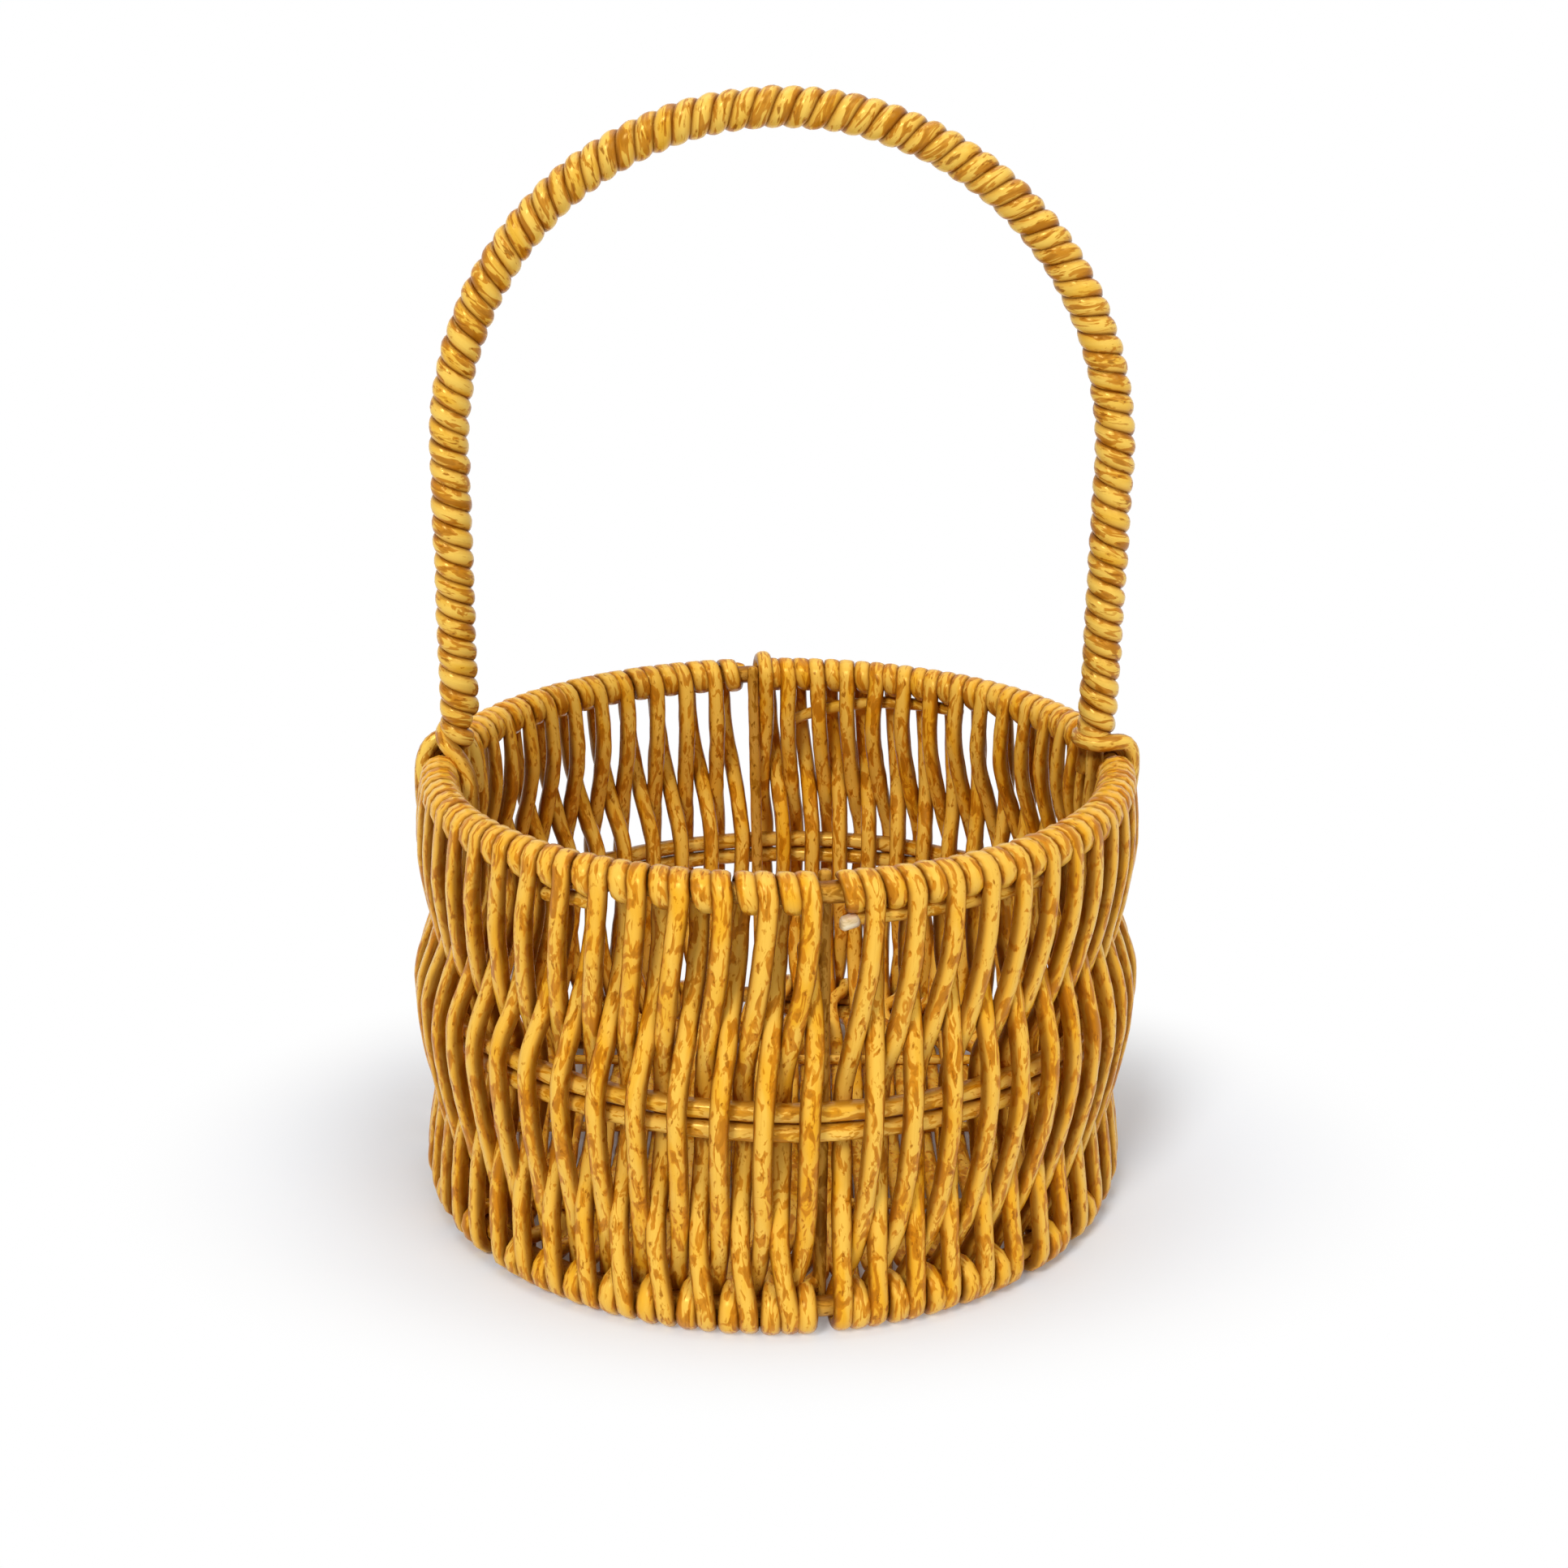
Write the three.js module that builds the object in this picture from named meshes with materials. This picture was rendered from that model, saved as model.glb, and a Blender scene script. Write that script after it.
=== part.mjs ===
// Woven basket of round plastic cane with a tall bound hoop handle.
// Millimetres, +Z up. The origin is on the ground under the middle of the basket.
// Azimuth 0 is the front of the basket (-Y) and grows towards +X, in degrees.

import * as THREE from 'three';

// Hoops and weavers of the wall
const RIM_HOOP_RADIUS = 93.2;
const RIM_HOOP_HEIGHT = 119.6;
const RIM_HOOP_DIAMETER = 5.4;
const BASE_HOOP_RADIUS = 94.2;
const BASE_HOOP_DIAMETER = 5.2;
const MID_CANE_RADIUS = 95.0;
const MID_CANE_DIAMETER = 4.3;
const MID_CANE_HEIGHTS = { mid_cane_upper: 62.6, mid_cane_lower: 57.2 };
const MID_CANE_WANDER = 1.0;
const HOOP_STEPS = 36;

// The basket leans a little towards +X, up to the height where the handle arches. It
// starts a little towards -X, so that the origin is under the middle of the outline.
const LEAN_AT_RIM = 1.6;
const LEAN_START = -0.58;

// The cane that makes the wall, thinner where it is pulled round the rim
const CANE_WIDTH = 4.1;
const CANE_THICKNESS = 4.2;
const RIM_TURN_WIDTH = 4.0;
const RIM_TURN_THICKNESS = 2.4;
const CLEARANCE = 0.3;
const UPRIGHT_COSINE = 0.97;
const WRAP_STEP_ANGLE = 60;
const RIM_TURN_END = 540;
const RIM_TURN_END_AT_UPRIGHT = 480;

// At a bend the section grows by the mitre, up to this limit
const MITRE_LIMIT = 1.3;
const SHARPEST_BEND_COSINE = 0.5;

// Sides of the sections: hoops and straight canes, ties and tucked ends, and the rest
const ROUND_SIDES = 6;
const THIN_SIDES = 5;
const FLAT_SIDES = 4;

// The base hoop stands clear of the ground by the turns of cane under it
const BASE_HOOP_HEIGHT = hexFlat(BASE_HOOP_DIAMETER) + CLEARANCE + CANE_THICKNESS;
const RIM_HOOP = {
  radius: RIM_HOOP_RADIUS,
  height: RIM_HOOP_HEIGHT,
  diameter: RIM_HOOP_DIAMETER,
};
const BASE_HOOP = {
  radius: BASE_HOOP_RADIUS,
  height: BASE_HOOP_HEIGHT,
  diameter: BASE_HOOP_DIAMETER,
};

// Heights where the two canes of a pair change sides, and where they bow out
const UPPER_BOW_HEIGHT = 103;
const UPPER_WAIST_HEIGHT = 81.5;
const MIDDLE_HEIGHT = 59.9;
const MIDDLE_HALF_SPAN = 7;
const LOWER_WAIST_HEIGHT = 25;
const UPPER_BOW_RADIUS = 97.9;
const UPPER_WAIST_RADIUS = 94.7;
const LOWER_WAIST_RADII = { rising: 96.6, falling: 94.6 };
const MIDDLE_SLACK = 0.15;
const MIDDLE_OFFSET = (MID_CANE_DIAMETER + CANE_THICKNESS) / 2 + CLEARANCE + MIDDLE_SLACK;

// Where a length starts beside an upright, and where it ends inside the base hoop
const HIGH_START = { drift: -0.4, radius: 90.3, height: 106 };
const LOW_END = { radius: 89.7, height: 9.2 };

// Sideways drift of the rising and falling canes, in degrees from their rim turn
const RIM_DRIFT_PER_HALF_TURN = -1.45;
const EVEN_DRIFT = {
  rising: { bow: -0.7, waist: -2.5, middle: -3.7, lowerWaist: -3.75, base: -2.15 },
  falling: { bow: -4.6, waist: -5.4, middle: -6.2, lowerWaist: -6.5 },
};
const SLANTING_DRIFT = {
  rising: { bow: -0.6, waist: -2.2, middle: -3.1, lowerWaist: -4.25, base: -4.3 },
  falling: { bow: -4.5, waist: -5.1, middle: -5.9, lowerWaist: -6.95 },
};

// Each quarter of the wall runs from a handle leg to an upright: the azimuth of the
// rising cane nearest the start, the spacing, and the number of pairs in each length.
// A quarter that starts at an upright starts high, and one that ends there ends at the rim.
const WALL_QUARTERS = [
  { name: 'front_left', first: 5.0, pitch: 6.23, lengths: [4, 4, 4, 3], drift: EVEN_DRIFT },
  { name: 'back_left', first: 267.3, pitch: 6.35, lengths: [4, 3, 3, 3], drift: EVEN_DRIFT },
  { name: 'back_right', first: 182.4, pitch: 6.05, lengths: [4, 4, 4, 3], drift: EVEN_DRIFT },
  { name: 'front_right', first: 86.6, pitch: 6.05, lengths: [4, 3, 3, 3], drift: SLANTING_DRIFT },
];

// Uprights and the handle
const UPRIGHT_DIAMETER = 3.4;
const UPRIGHT_TOP = 123.5;
const UPRIGHT_FOOT = 3;
const UPRIGHT_AZIMUTHS = { front_upright: 7.1, back_upright: 184.6 };
const HANDLE_CORE_DIAMETER = 4.8;
const HANDLE_LEG_OFFSET = 88.0;
const HANDLE_SPRING_HEIGHT = 206.5;
const HANDLE_FOOT_HEIGHT = 34;
const HANDLE_ARCH_STEPS = 24;
const BINDING_START_HEIGHT = 132.5;
const BINDING_WIDTH = 4.9;
const BINDING_THICKNESS = 2.4;
const BINDING_PITCH = 5.85;
const BINDING_STEPS_PER_TURN = 7;
const BINDING_CLEARANCE = 0.5;
const BINDING_CORNERS = 4;

// Canes that tie the handle down and the ends tucked in under the rim
const LASHING_DIAMETER = 3.2;
const LASHING_HEIGHT = 128.2;
const LASHING_FOOT_HEIGHT = 107;
const LASHING_BULGE = 0.6;
const LASHING_SHOULDER = 2.2;
const LASHING_CROSSING_INSET = 1.5;
const LASHING_SIDE_INSET = 0.5;
const LASHING_SIDE_SLACK = 0.4;
const LASHING_BACK_SLACK = 0.3;
const LASHINGS = {
  left_lashing: { leg: -90, passes: [-90.5, -88.3] },
  right_lashing: { leg: 90, passes: [89.1, 91.3] },
};
const TAIL_DIAMETER = 3.4;
const TAIL_RADIUS = 93.4;
const TAIL_HEIGHT = 112;
const TAIL_STEP_ANGLE = 6;
const TAILS = {
  front_right_tail: { from: 12, to: 46, fall: 0 },
  front_left_tail: { from: -28, to: -38, fall: 1 },
  back_tail: { from: 142, to: 178, fall: 9 },
};

// Floor of parallel canes over three cross ribs
const FLOOR_CANE_WIDTH = 4.1;
const FLOOR_CANE_THICKNESS = 3.0;
const FLOOR_TURN_WIDTH = 3.0;
const FLOOR_TURN_THICKNESS = 3.6;
const FLOOR_TURN_RISE = 2.6;
const FLOOR_TURN_DIP = 3.4;
const FLOOR_TURN_ANGLE = 120;
const FLOOR_LOOP_SPACING = 6.9;
const FLOOR_LOOP_REACH = 84;
const FLOOR_LEVEL_REACH = 82;
const FLOOR_LOOP_LIMIT = 70;
const FLOOR_LOOP_SHIFTS = { even: 0.2, slanting: 0.5 };
const FLOOR_GAP_LIMIT = 6.6;
const FLOOR_CHORD_REACH = 75;
const FLOOR_CHORD_END = 47;
const FLOOR_RIB_PLACES = { floor_rib_front: -44, floor_rib_middle: 0, floor_rib_back: 44 };
const FLOOR_RIB_SIZE = 2.8;
const FLOOR_RIB_REACH = 76;
const FLOOR_END_SHARE = 0.07;
const FLOOR_HEIGHT = 7.2;
const FLOOR_WEAVE = (FLOOR_RIB_SIZE + FLOOR_CANE_THICKNESS) / 2 + CLEARANCE;
const FLOOR_NODES = 4;
const FLOOR_SEAM_AZIMUTH = -90;

const STRAW = material('#dba640', 0.42);
const AMBER = material('#b9781f', 0.45);
const GOLD = material('#e0ad4c', 0.38);
const DARK_CANE = material('#9c6a22', 0.5);

function material(color, roughness) {
  return new THREE.MeshStandardMaterial({ color, roughness, metalness: 0 });
}

// Half the distance across the flats of a six-sided bar of the given diameter
function hexFlat(diameter) {
  return (diameter / 2) * Math.cos(Math.PI / 6);
}

function radians(degrees) {
  return (degrees * Math.PI) / 180;
}

// How far the basket leans towards +X at a height
function leanAt(height) {
  return LEAN_START + (LEAN_AT_RIM * Math.min(height, HANDLE_SPRING_HEIGHT)) / RIM_HOOP_HEIGHT;
}

// A point of the wall from its azimuth, radius and height
function wallPoint(azimuth, radius, height) {
  const angle = radians(azimuth);
  const x = radius * Math.sin(angle) + leanAt(height);
  return new THREE.Vector3(x, -radius * Math.cos(angle), height);
}

// Direction along the hoops at the given point
function alongHoop(point) {
  return new THREE.Vector3(-point.y, point.x, 0).normalize();
}

// Closed bar along a list of stations. Each station has a point, a width and a
// thickness; across(point, tangent) gives the direction of the width.
function sweptBar(stations, across, sides = FLAT_SIDES) {
  const positions = [];
  const indices = [];
  const last = stations.length - 1;
  for (let i = 0; i <= last; i += 1) {
    const { point, width, thickness } = stations[i];
    const before = stations[Math.max(i - 1, 0)].point;
    const after = stations[Math.min(i + 1, last)].point;
    const arriving = i === 0 ? after.clone().sub(point) : point.clone().sub(before);
    const leaving = i === last ? point.clone().sub(before) : after.clone().sub(point);
    arriving.normalize();
    leaving.normalize();
    const tangent = arriving.clone().add(leaving).normalize();
    const mitre = Math.min(1 / Math.max(tangent.dot(leaving), SHARPEST_BEND_COSINE), MITRE_LIMIT);
    const wide = across(point, tangent).clone();
    wide.addScaledVector(tangent, -wide.dot(tangent)).normalize();
    const thick = new THREE.Vector3().crossVectors(tangent, wide);
    const bend = leaving.clone().sub(arriving);
    const turnsThick = Math.abs(bend.dot(thick)) >= Math.abs(bend.dot(wide));
    const wideScale = turnsThick ? 1 : mitre;
    const thickScale = turnsThick ? mitre : 1;
    for (let s = 0; s < sides; s += 1) {
      const corner = sectionCorner(s, sides);
      const vertex = point.clone();
      vertex.addScaledVector(wide, corner.x * width * wideScale);
      vertex.addScaledVector(thick, corner.y * thickness * thickScale);
      positions.push(vertex.x, vertex.y, vertex.z);
    }
  }
  for (let i = 0; i < last; i += 1) {
    for (let s = 0; s < sides; s += 1) {
      const a = i * sides + s;
      const b = i * sides + ((s + 1) % sides);
      indices.push(a, b, b + sides, a, b + sides, a + sides);
    }
  }
  for (let s = 1; s < sides - 1; s += 1) {
    indices.push(0, s + 1, s);
    indices.push(last * sides, last * sides + s, last * sides + s + 1);
  }
  return closedGeometry(positions, indices);
}

// Corner of a section that measures one unit across: a square for four sides
function sectionCorner(index, sides) {
  if (sides === FLAT_SIDES) {
    const angle = Math.PI / 4 + (index * Math.PI) / 2;
    return { x: Math.SQRT1_2 * Math.cos(angle), y: Math.SQRT1_2 * Math.sin(angle) };
  }
  const angle = (index * 2 * Math.PI) / sides;
  return { x: 0.5 * Math.cos(angle), y: 0.5 * Math.sin(angle) };
}

function closedGeometry(positions, indices) {
  const geometry = new THREE.BufferGeometry();
  geometry.setAttribute('position', new THREE.Float32BufferAttribute(positions, 3));
  geometry.setIndex(indices);
  geometry.computeVertexNormals();
  return geometry;
}

// Closed ring of cane: centre radius, height at each azimuth, and section
function hoopGeometry(radius, heightAt, diameter, sides) {
  const positions = [];
  const indices = [];
  const evenedRadius = radius * (1.5 - Math.cos(Math.PI / HOOP_STEPS) / 2);
  for (let i = 0; i < HOOP_STEPS; i += 1) {
    const azimuth = (i * 360) / HOOP_STEPS;
    for (let s = 0; s < sides; s += 1) {
      const angle = (s * 2 * Math.PI) / sides;
      const ringRadius = evenedRadius + (diameter / 2) * Math.cos(angle);
      const height = heightAt(azimuth) + (diameter / 2) * Math.sin(angle);
      const vertex = wallPoint(azimuth, ringRadius, height);
      positions.push(vertex.x, vertex.y, vertex.z);
    }
  }
  for (let i = 0; i < HOOP_STEPS; i += 1) {
    const next = (i + 1) % HOOP_STEPS;
    for (let s = 0; s < sides; s += 1) {
      const t = (s + 1) % sides;
      indices.push(i * sides + s, next * sides + s, next * sides + t);
      indices.push(i * sides + s, next * sides + t, i * sides + t);
    }
  }
  return closedGeometry(positions, indices);
}

// The canes of the middle wander a little up and down, as laid by hand
function midCaneHeight(height, azimuth) {
  return height - MID_CANE_WANDER * Math.sin(radians(2 * azimuth));
}

// Station of a wall cane
function wallStation(azimuth, radius, height, width = CANE_WIDTH, thickness = CANE_THICKNESS) {
  return { point: wallPoint(azimuth, radius, height), width, thickness };
}

// Stations round a hoop between two angles: 0 is outside, 90 above and 180 inside
function hoopTurn(hoop, azimuthAt, fromAngle, toAngle, width, thickness) {
  const flat = hexFlat(hoop.diameter) + CLEARANCE + thickness / 2;
  const reach = flat / Math.cos(radians(WRAP_STEP_ANGLE / 2));
  const step = Math.sign(toAngle - fromAngle) * WRAP_STEP_ANGLE;
  const count = Math.round((toAngle - fromAngle) / step);
  const stations = [];
  for (let i = 0; i <= count; i += 1) {
    const angle = fromAngle + i * step;
    const radius = hoop.radius + reach * Math.cos(radians(angle));
    const height = hoop.height + reach * Math.sin(radians(angle));
    stations.push(wallStation(azimuthAt(angle), radius, height, width, thickness));
  }
  return stations;
}

// Turns round the rim hoop: up outside, over, under, and over again to the inside
function rimTurns(azimuth, endAngle) {
  const azimuthAt = (angle) => azimuth + (RIM_DRIFT_PER_HALF_TURN * angle) / 180;
  return hoopTurn(RIM_HOOP, azimuthAt, 0, endAngle, RIM_TURN_WIDTH, RIM_TURN_THICKNESS);
}

// Half turn under the base hoop, from the inside to the outside
function baseTurn(azimuth) {
  return hoopTurn(BASE_HOOP, () => azimuth, -180, 0, CANE_WIDTH, CANE_THICKNESS);
}

// The cane that rises: outside, inside the middle canes, and outside again
function risingCane(azimuth, drift) {
  const inside = MID_CANE_RADIUS - MIDDLE_OFFSET;
  return [
    wallStation(azimuth + drift.lowerWaist, LOWER_WAIST_RADII.rising, LOWER_WAIST_HEIGHT),
    wallStation(azimuth + drift.middle, inside, MIDDLE_HEIGHT - MIDDLE_HALF_SPAN),
    wallStation(azimuth + drift.middle, inside, MIDDLE_HEIGHT + MIDDLE_HALF_SPAN),
    wallStation(azimuth + drift.waist, UPPER_WAIST_RADIUS, UPPER_WAIST_HEIGHT),
    wallStation(azimuth + drift.bow, UPPER_BOW_RADIUS, UPPER_BOW_HEIGHT),
  ];
}

// The cane that falls: inside, outside the middle canes, and inside again
function fallingCane(azimuth, drift) {
  const innerBow = 2 * RIM_HOOP_RADIUS - UPPER_BOW_RADIUS;
  const outside = MID_CANE_RADIUS + MIDDLE_OFFSET;
  return [
    wallStation(azimuth + drift.bow, innerBow, UPPER_BOW_HEIGHT),
    wallStation(azimuth + drift.waist, UPPER_WAIST_RADIUS, UPPER_WAIST_HEIGHT),
    wallStation(azimuth + drift.middle, outside, MIDDLE_HEIGHT + MIDDLE_HALF_SPAN),
    wallStation(azimuth + drift.middle, outside, MIDDLE_HEIGHT - MIDDLE_HALF_SPAN),
    wallStation(azimuth + drift.lowerWaist, LOWER_WAIST_RADII.falling, LOWER_WAIST_HEIGHT),
  ];
}

// One length of cane that makes several pairs of the wall, worked towards -azimuth. It
// starts beside an upright or at the base, and ends at the rim or just above the base
// turn of the next length.
function wallLength(firstAzimuth, pitch, pairs, drift, startsHigh, endsAtRim) {
  const stations = [];
  if (startsHigh) {
    const beside = firstAzimuth + HIGH_START.drift;
    stations.push(wallStation(beside, HIGH_START.radius, HIGH_START.height));
    stations.push(...fallingCane(firstAzimuth + pitch, drift.falling).slice(1));
  }
  for (let k = 0; k < pairs; k += 1) {
    const azimuth = firstAzimuth - k * pitch;
    const finishing = endsAtRim && k === pairs - 1;
    stations.push(...baseTurn(azimuth + drift.rising.base));
    stations.push(...risingCane(azimuth, drift.rising));
    stations.push(...rimTurns(azimuth, finishing ? RIM_TURN_END_AT_UPRIGHT : RIM_TURN_END));
    if (!finishing) {
      stations.push(...fallingCane(azimuth, drift.falling));
    }
  }
  if (!endsAtRim) {
    const next = firstAzimuth - pairs * pitch + drift.rising.base;
    stations.push(wallStation(next, LOW_END.radius, LOW_END.height));
  }
  return sweptBar(stations, alongHoop);
}

// Every length of the wall, by node name
function wallMeshes() {
  const meshes = [];
  for (const quarter of WALL_QUARTERS) {
    const startsAtUpright = quarter.name === 'front_left' || quarter.name === 'back_right';
    const last = quarter.lengths.length - 1;
    let azimuth = quarter.first;
    quarter.lengths.forEach((pairs, index) => {
      const high = startsAtUpright && index === 0;
      const atRim = !startsAtUpright && index === last;
      const geometry = wallLength(azimuth, quarter.pitch, pairs, quarter.drift, high, atRim);
      meshes.push(namedMesh(`wall_${quarter.name}_${index + 1}`, geometry, STRAW));
      azimuth -= pairs * quarter.pitch;
    });
  }
  return meshes;
}

// The same azimuth, within one turn that starts at the lowest azimuth given
function withinTurn(azimuth, lowest) {
  return THREE.MathUtils.euclideanModulo(azimuth - lowest, 360) + lowest;
}

// Azimuths of the turns that the wall makes under the base hoop, in rising order
function baseTurnAzimuths() {
  const azimuths = [];
  for (const quarter of WALL_QUARTERS) {
    const pairs = quarter.lengths.reduce((sum, length) => sum + length, 0);
    for (let k = 0; k < pairs; k += 1) {
      azimuths.push(quarter.first - k * quarter.pitch + quarter.drift.rising.base);
    }
  }
  return azimuths.map((azimuth) => withinTurn(azimuth, FLOOR_SEAM_AZIMUTH)).sort((a, b) => a - b);
}

// Upright cane that stands inside the hoops
function uprightGeometry(azimuth) {
  const radius = RIM_HOOP_RADIUS - (RIM_HOOP_DIAMETER + UPRIGHT_DIAMETER) / 2 - CLEARANCE;
  const stations = [];
  for (const height of [UPRIGHT_FOOT, UPRIGHT_TOP]) {
    stations.push(wallStation(azimuth, radius, height, UPRIGHT_DIAMETER, UPRIGHT_DIAMETER));
  }
  return sweptBar(stations, alongHoop, ROUND_SIDES);
}

// Point on the middle line of the handle, by the length along it from the left
// shoulder, with the outward direction there
function handlePoint(along) {
  const archLength = Math.PI * HANDLE_LEG_OFFSET;
  const angle = Math.PI - Math.min(Math.max(along, 0), archLength) / HANDLE_LEG_OFFSET;
  const outward = new THREE.Vector3(Math.cos(angle), 0, Math.sin(angle));
  const below = along < 0 ? -along : Math.max(along - archLength, 0);
  const point = outward.clone().multiplyScalar(HANDLE_LEG_OFFSET);
  point.z += HANDLE_SPRING_HEIGHT - below;
  point.x += leanAt(point.z);
  return { point, outward };
}

// The hoop handle with its two legs, which stand inside the wall
function handleCoreGeometry() {
  const archLength = Math.PI * HANDLE_LEG_OFFSET;
  const legLength = HANDLE_SPRING_HEIGHT - HANDLE_FOOT_HEIGHT;
  const places = [-legLength];
  for (let i = 0; i <= HANDLE_ARCH_STEPS; i += 1) {
    places.push((i * archLength) / HANDLE_ARCH_STEPS);
  }
  places.push(archLength + legLength);
  const size = HANDLE_CORE_DIAMETER;
  const stations = places.map((along) => ({
    point: handlePoint(along).point,
    width: size,
    thickness: size,
  }));
  return sweptBar(stations, () => new THREE.Vector3(0, 1, 0), ROUND_SIDES);
}

// The flat cane wound round the handle, from one shoulder of the rim to the other
function handleBindingGeometry() {
  const archLength = Math.PI * HANDLE_LEG_OFFSET;
  const start = BINDING_START_HEIGHT - HANDLE_SPRING_HEIGHT;
  const turns = Math.floor((archLength - 2 * start) / BINDING_PITCH);
  const flat = HANDLE_CORE_DIAMETER / 2 + BINDING_CLEARANCE + BINDING_THICKNESS / 2;
  const reach = flat / Math.cos(Math.PI / BINDING_STEPS_PER_TURN);
  const stations = [];
  for (let i = 0; i <= turns * BINDING_STEPS_PER_TURN; i += 1) {
    const phase = (i * 2 * Math.PI) / BINDING_STEPS_PER_TURN;
    const along = start + (i * BINDING_PITCH) / BINDING_STEPS_PER_TURN;
    const { point, outward } = handlePoint(along);
    point.addScaledVector(outward, reach * Math.cos(phase));
    point.y += reach * Math.sin(phase);
    const handleward = new THREE.Vector3(outward.z, 0, -outward.x);
    stations.push({ point, width: BINDING_WIDTH, thickness: BINDING_THICKNESS, handleward });
  }
  const wayAt = new Map(stations.map((station) => [station.point, station.handleward]));
  const geometry = sweptBar(stations, (point) => wayAt.get(point));
  reportBindingGap(geometry);
  return geometry;
}

// Least distance between corner points of the binding that lie about a turn apart
function reportBindingGap(geometry) {
  const rings = geometry.getAttribute('position').count / BINDING_CORNERS;
  const halfTurn = Math.floor(BINDING_STEPS_PER_TURN / 2);
  let least = Infinity;
  for (let i = 0; i < rings; i += 1) {
    const farthest = Math.min(i + BINDING_STEPS_PER_TURN + halfTurn, rings - 1);
    for (let j = i + halfTurn; j <= farthest; j += 1) {
      for (const a of ringCorners(geometry, i)) {
        for (const b of ringCorners(geometry, j)) {
          least = Math.min(least, a.distanceTo(b));
        }
      }
    }
  }
  console.log(`least gap between turns of the handle binding: ${least.toFixed(2)} mm`);
}

// The corner points of one section of the binding
function ringCorners(geometry, ring) {
  const places = geometry.getAttribute('position');
  const corners = [];
  for (let corner = 0; corner < BINDING_CORNERS; corner += 1) {
    const index = ring * BINDING_CORNERS + corner;
    corners.push(new THREE.Vector3().fromBufferAttribute(places, index));
  }
  return corners;
}

// Cane that ties a handle leg to the rim: up outside, over the hoop, round the leg
// on the inside, and back over the hoop
function lashingGeometry(legAzimuth, passes) {
  const outside = RIM_HOOP_RADIUS + (RIM_HOOP_DIAMETER + LASHING_DIAMETER) / 2 + CLEARANCE;
  const above = RIM_HOOP_HEIGHT + (RIM_HOOP_DIAMETER + LASHING_DIAMETER) / 2 + CLEARANCE;
  const round = (HANDLE_CORE_DIAMETER + LASHING_DIAMETER) / 2 + CLEARANCE;
  const beside = THREE.MathUtils.radToDeg((round + LASHING_SIDE_SLACK) / HANDLE_LEG_OFFSET);
  const side = HANDLE_LEG_OFFSET - LASHING_SIDE_INSET;
  const behind = HANDLE_LEG_OFFSET - round - LASHING_BACK_SLACK;
  const crossing = RIM_HOOP_RADIUS - LASHING_CROSSING_INSET;
  const stations = [];
  const add = (azimuth, radius, height) => {
    stations.push(wallStation(azimuth, radius, height, LASHING_DIAMETER, LASHING_DIAMETER));
  };
  const [first, second] = passes;
  add(first, outside, LASHING_FOOT_HEIGHT);
  add(first, outside + LASHING_BULGE, RIM_HOOP_HEIGHT);
  add(first, outside - LASHING_SHOULDER, above);
  add((first + legAzimuth - beside) / 2, crossing, LASHING_HEIGHT);
  add(legAzimuth - beside, side, LASHING_HEIGHT);
  add(legAzimuth - beside / 2, behind, LASHING_HEIGHT);
  add(legAzimuth + beside / 2, behind, LASHING_HEIGHT);
  add(legAzimuth + beside, side, LASHING_HEIGHT);
  add((second + legAzimuth + beside) / 2, crossing, LASHING_HEIGHT);
  add(second, outside - LASHING_SHOULDER, above);
  add(second, outside + LASHING_BULGE, RIM_HOOP_HEIGHT);
  add(second, outside, LASHING_FOOT_HEIGHT);
  return sweptBar(stations, (point, tangent) => squareTo(tangent), THIN_SIDES);
}

// A direction square to the tangent of a free cane: level, or along Y on an upright one
function squareTo(tangent) {
  const isUpright = Math.abs(tangent.z) > UPRIGHT_COSINE;
  const aside = new THREE.Vector3(0, isUpright ? 1 : 0, isUpright ? 0 : 1);
  return isUpright ? aside : new THREE.Vector3().crossVectors(tangent, aside).normalize();
}

// Cane end tucked between the inner and outer canes, just under the rim
function tailGeometry(fromAzimuth, toAzimuth, fall) {
  const stations = [];
  const steps = Math.ceil(Math.abs(toAzimuth - fromAzimuth) / TAIL_STEP_ANGLE);
  for (let i = 0; i <= steps; i += 1) {
    const azimuth = fromAzimuth + ((toAzimuth - fromAzimuth) * i) / steps;
    const height = TAIL_HEIGHT - fall * (i / steps) ** 3;
    stations.push(wallStation(azimuth, TAIL_RADIUS, height, TAIL_DIAMETER, TAIL_DIAMETER));
  }
  return sweptBar(stations, () => new THREE.Vector3(0, 0, 1), THIN_SIDES);
}

// Azimuths of the floor loops on the front or back of the base hoop: midway between
// two turns of the wall, and far enough apart for two floor canes each
function floorLoopAzimuths(isFront) {
  const turns = baseTurnAzimuths();
  const gaps = [];
  for (let i = 1; i < turns.length; i += 1) {
    const halfway = (turns[i] + turns[i - 1]) / 2;
    const slants = halfway > 0 && halfway < 90;
    const middle = halfway + (slants ? FLOOR_LOOP_SHIFTS.slanting : FLOOR_LOOP_SHIFTS.even);
    const evenlySpaced = turns[i] - turns[i - 1] < FLOOR_GAP_LIMIT;
    const facing = isFront ? Math.abs(middle) : Math.abs(middle - 180);
    if (evenlySpaced && facing < FLOOR_LOOP_LIMIT) {
      gaps.push(middle);
    }
  }
  return gaps.sort((a, b) => Math.sin(radians(a)) - Math.sin(radians(b)));
}

// The loops of one side that leave room for each other, from -X to +X
function spacedLoopAzimuths(isFront) {
  const across = (azimuth) => FLOOR_LOOP_REACH * Math.sin(radians(azimuth));
  const chosen = [];
  for (const azimuth of floorLoopAzimuths(isFront)) {
    const latest = chosen.at(-1);
    if (latest === undefined || across(azimuth) - across(latest) > FLOOR_LOOP_SPACING) {
      chosen.push(azimuth);
    }
  }
  return chosen;
}

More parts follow.
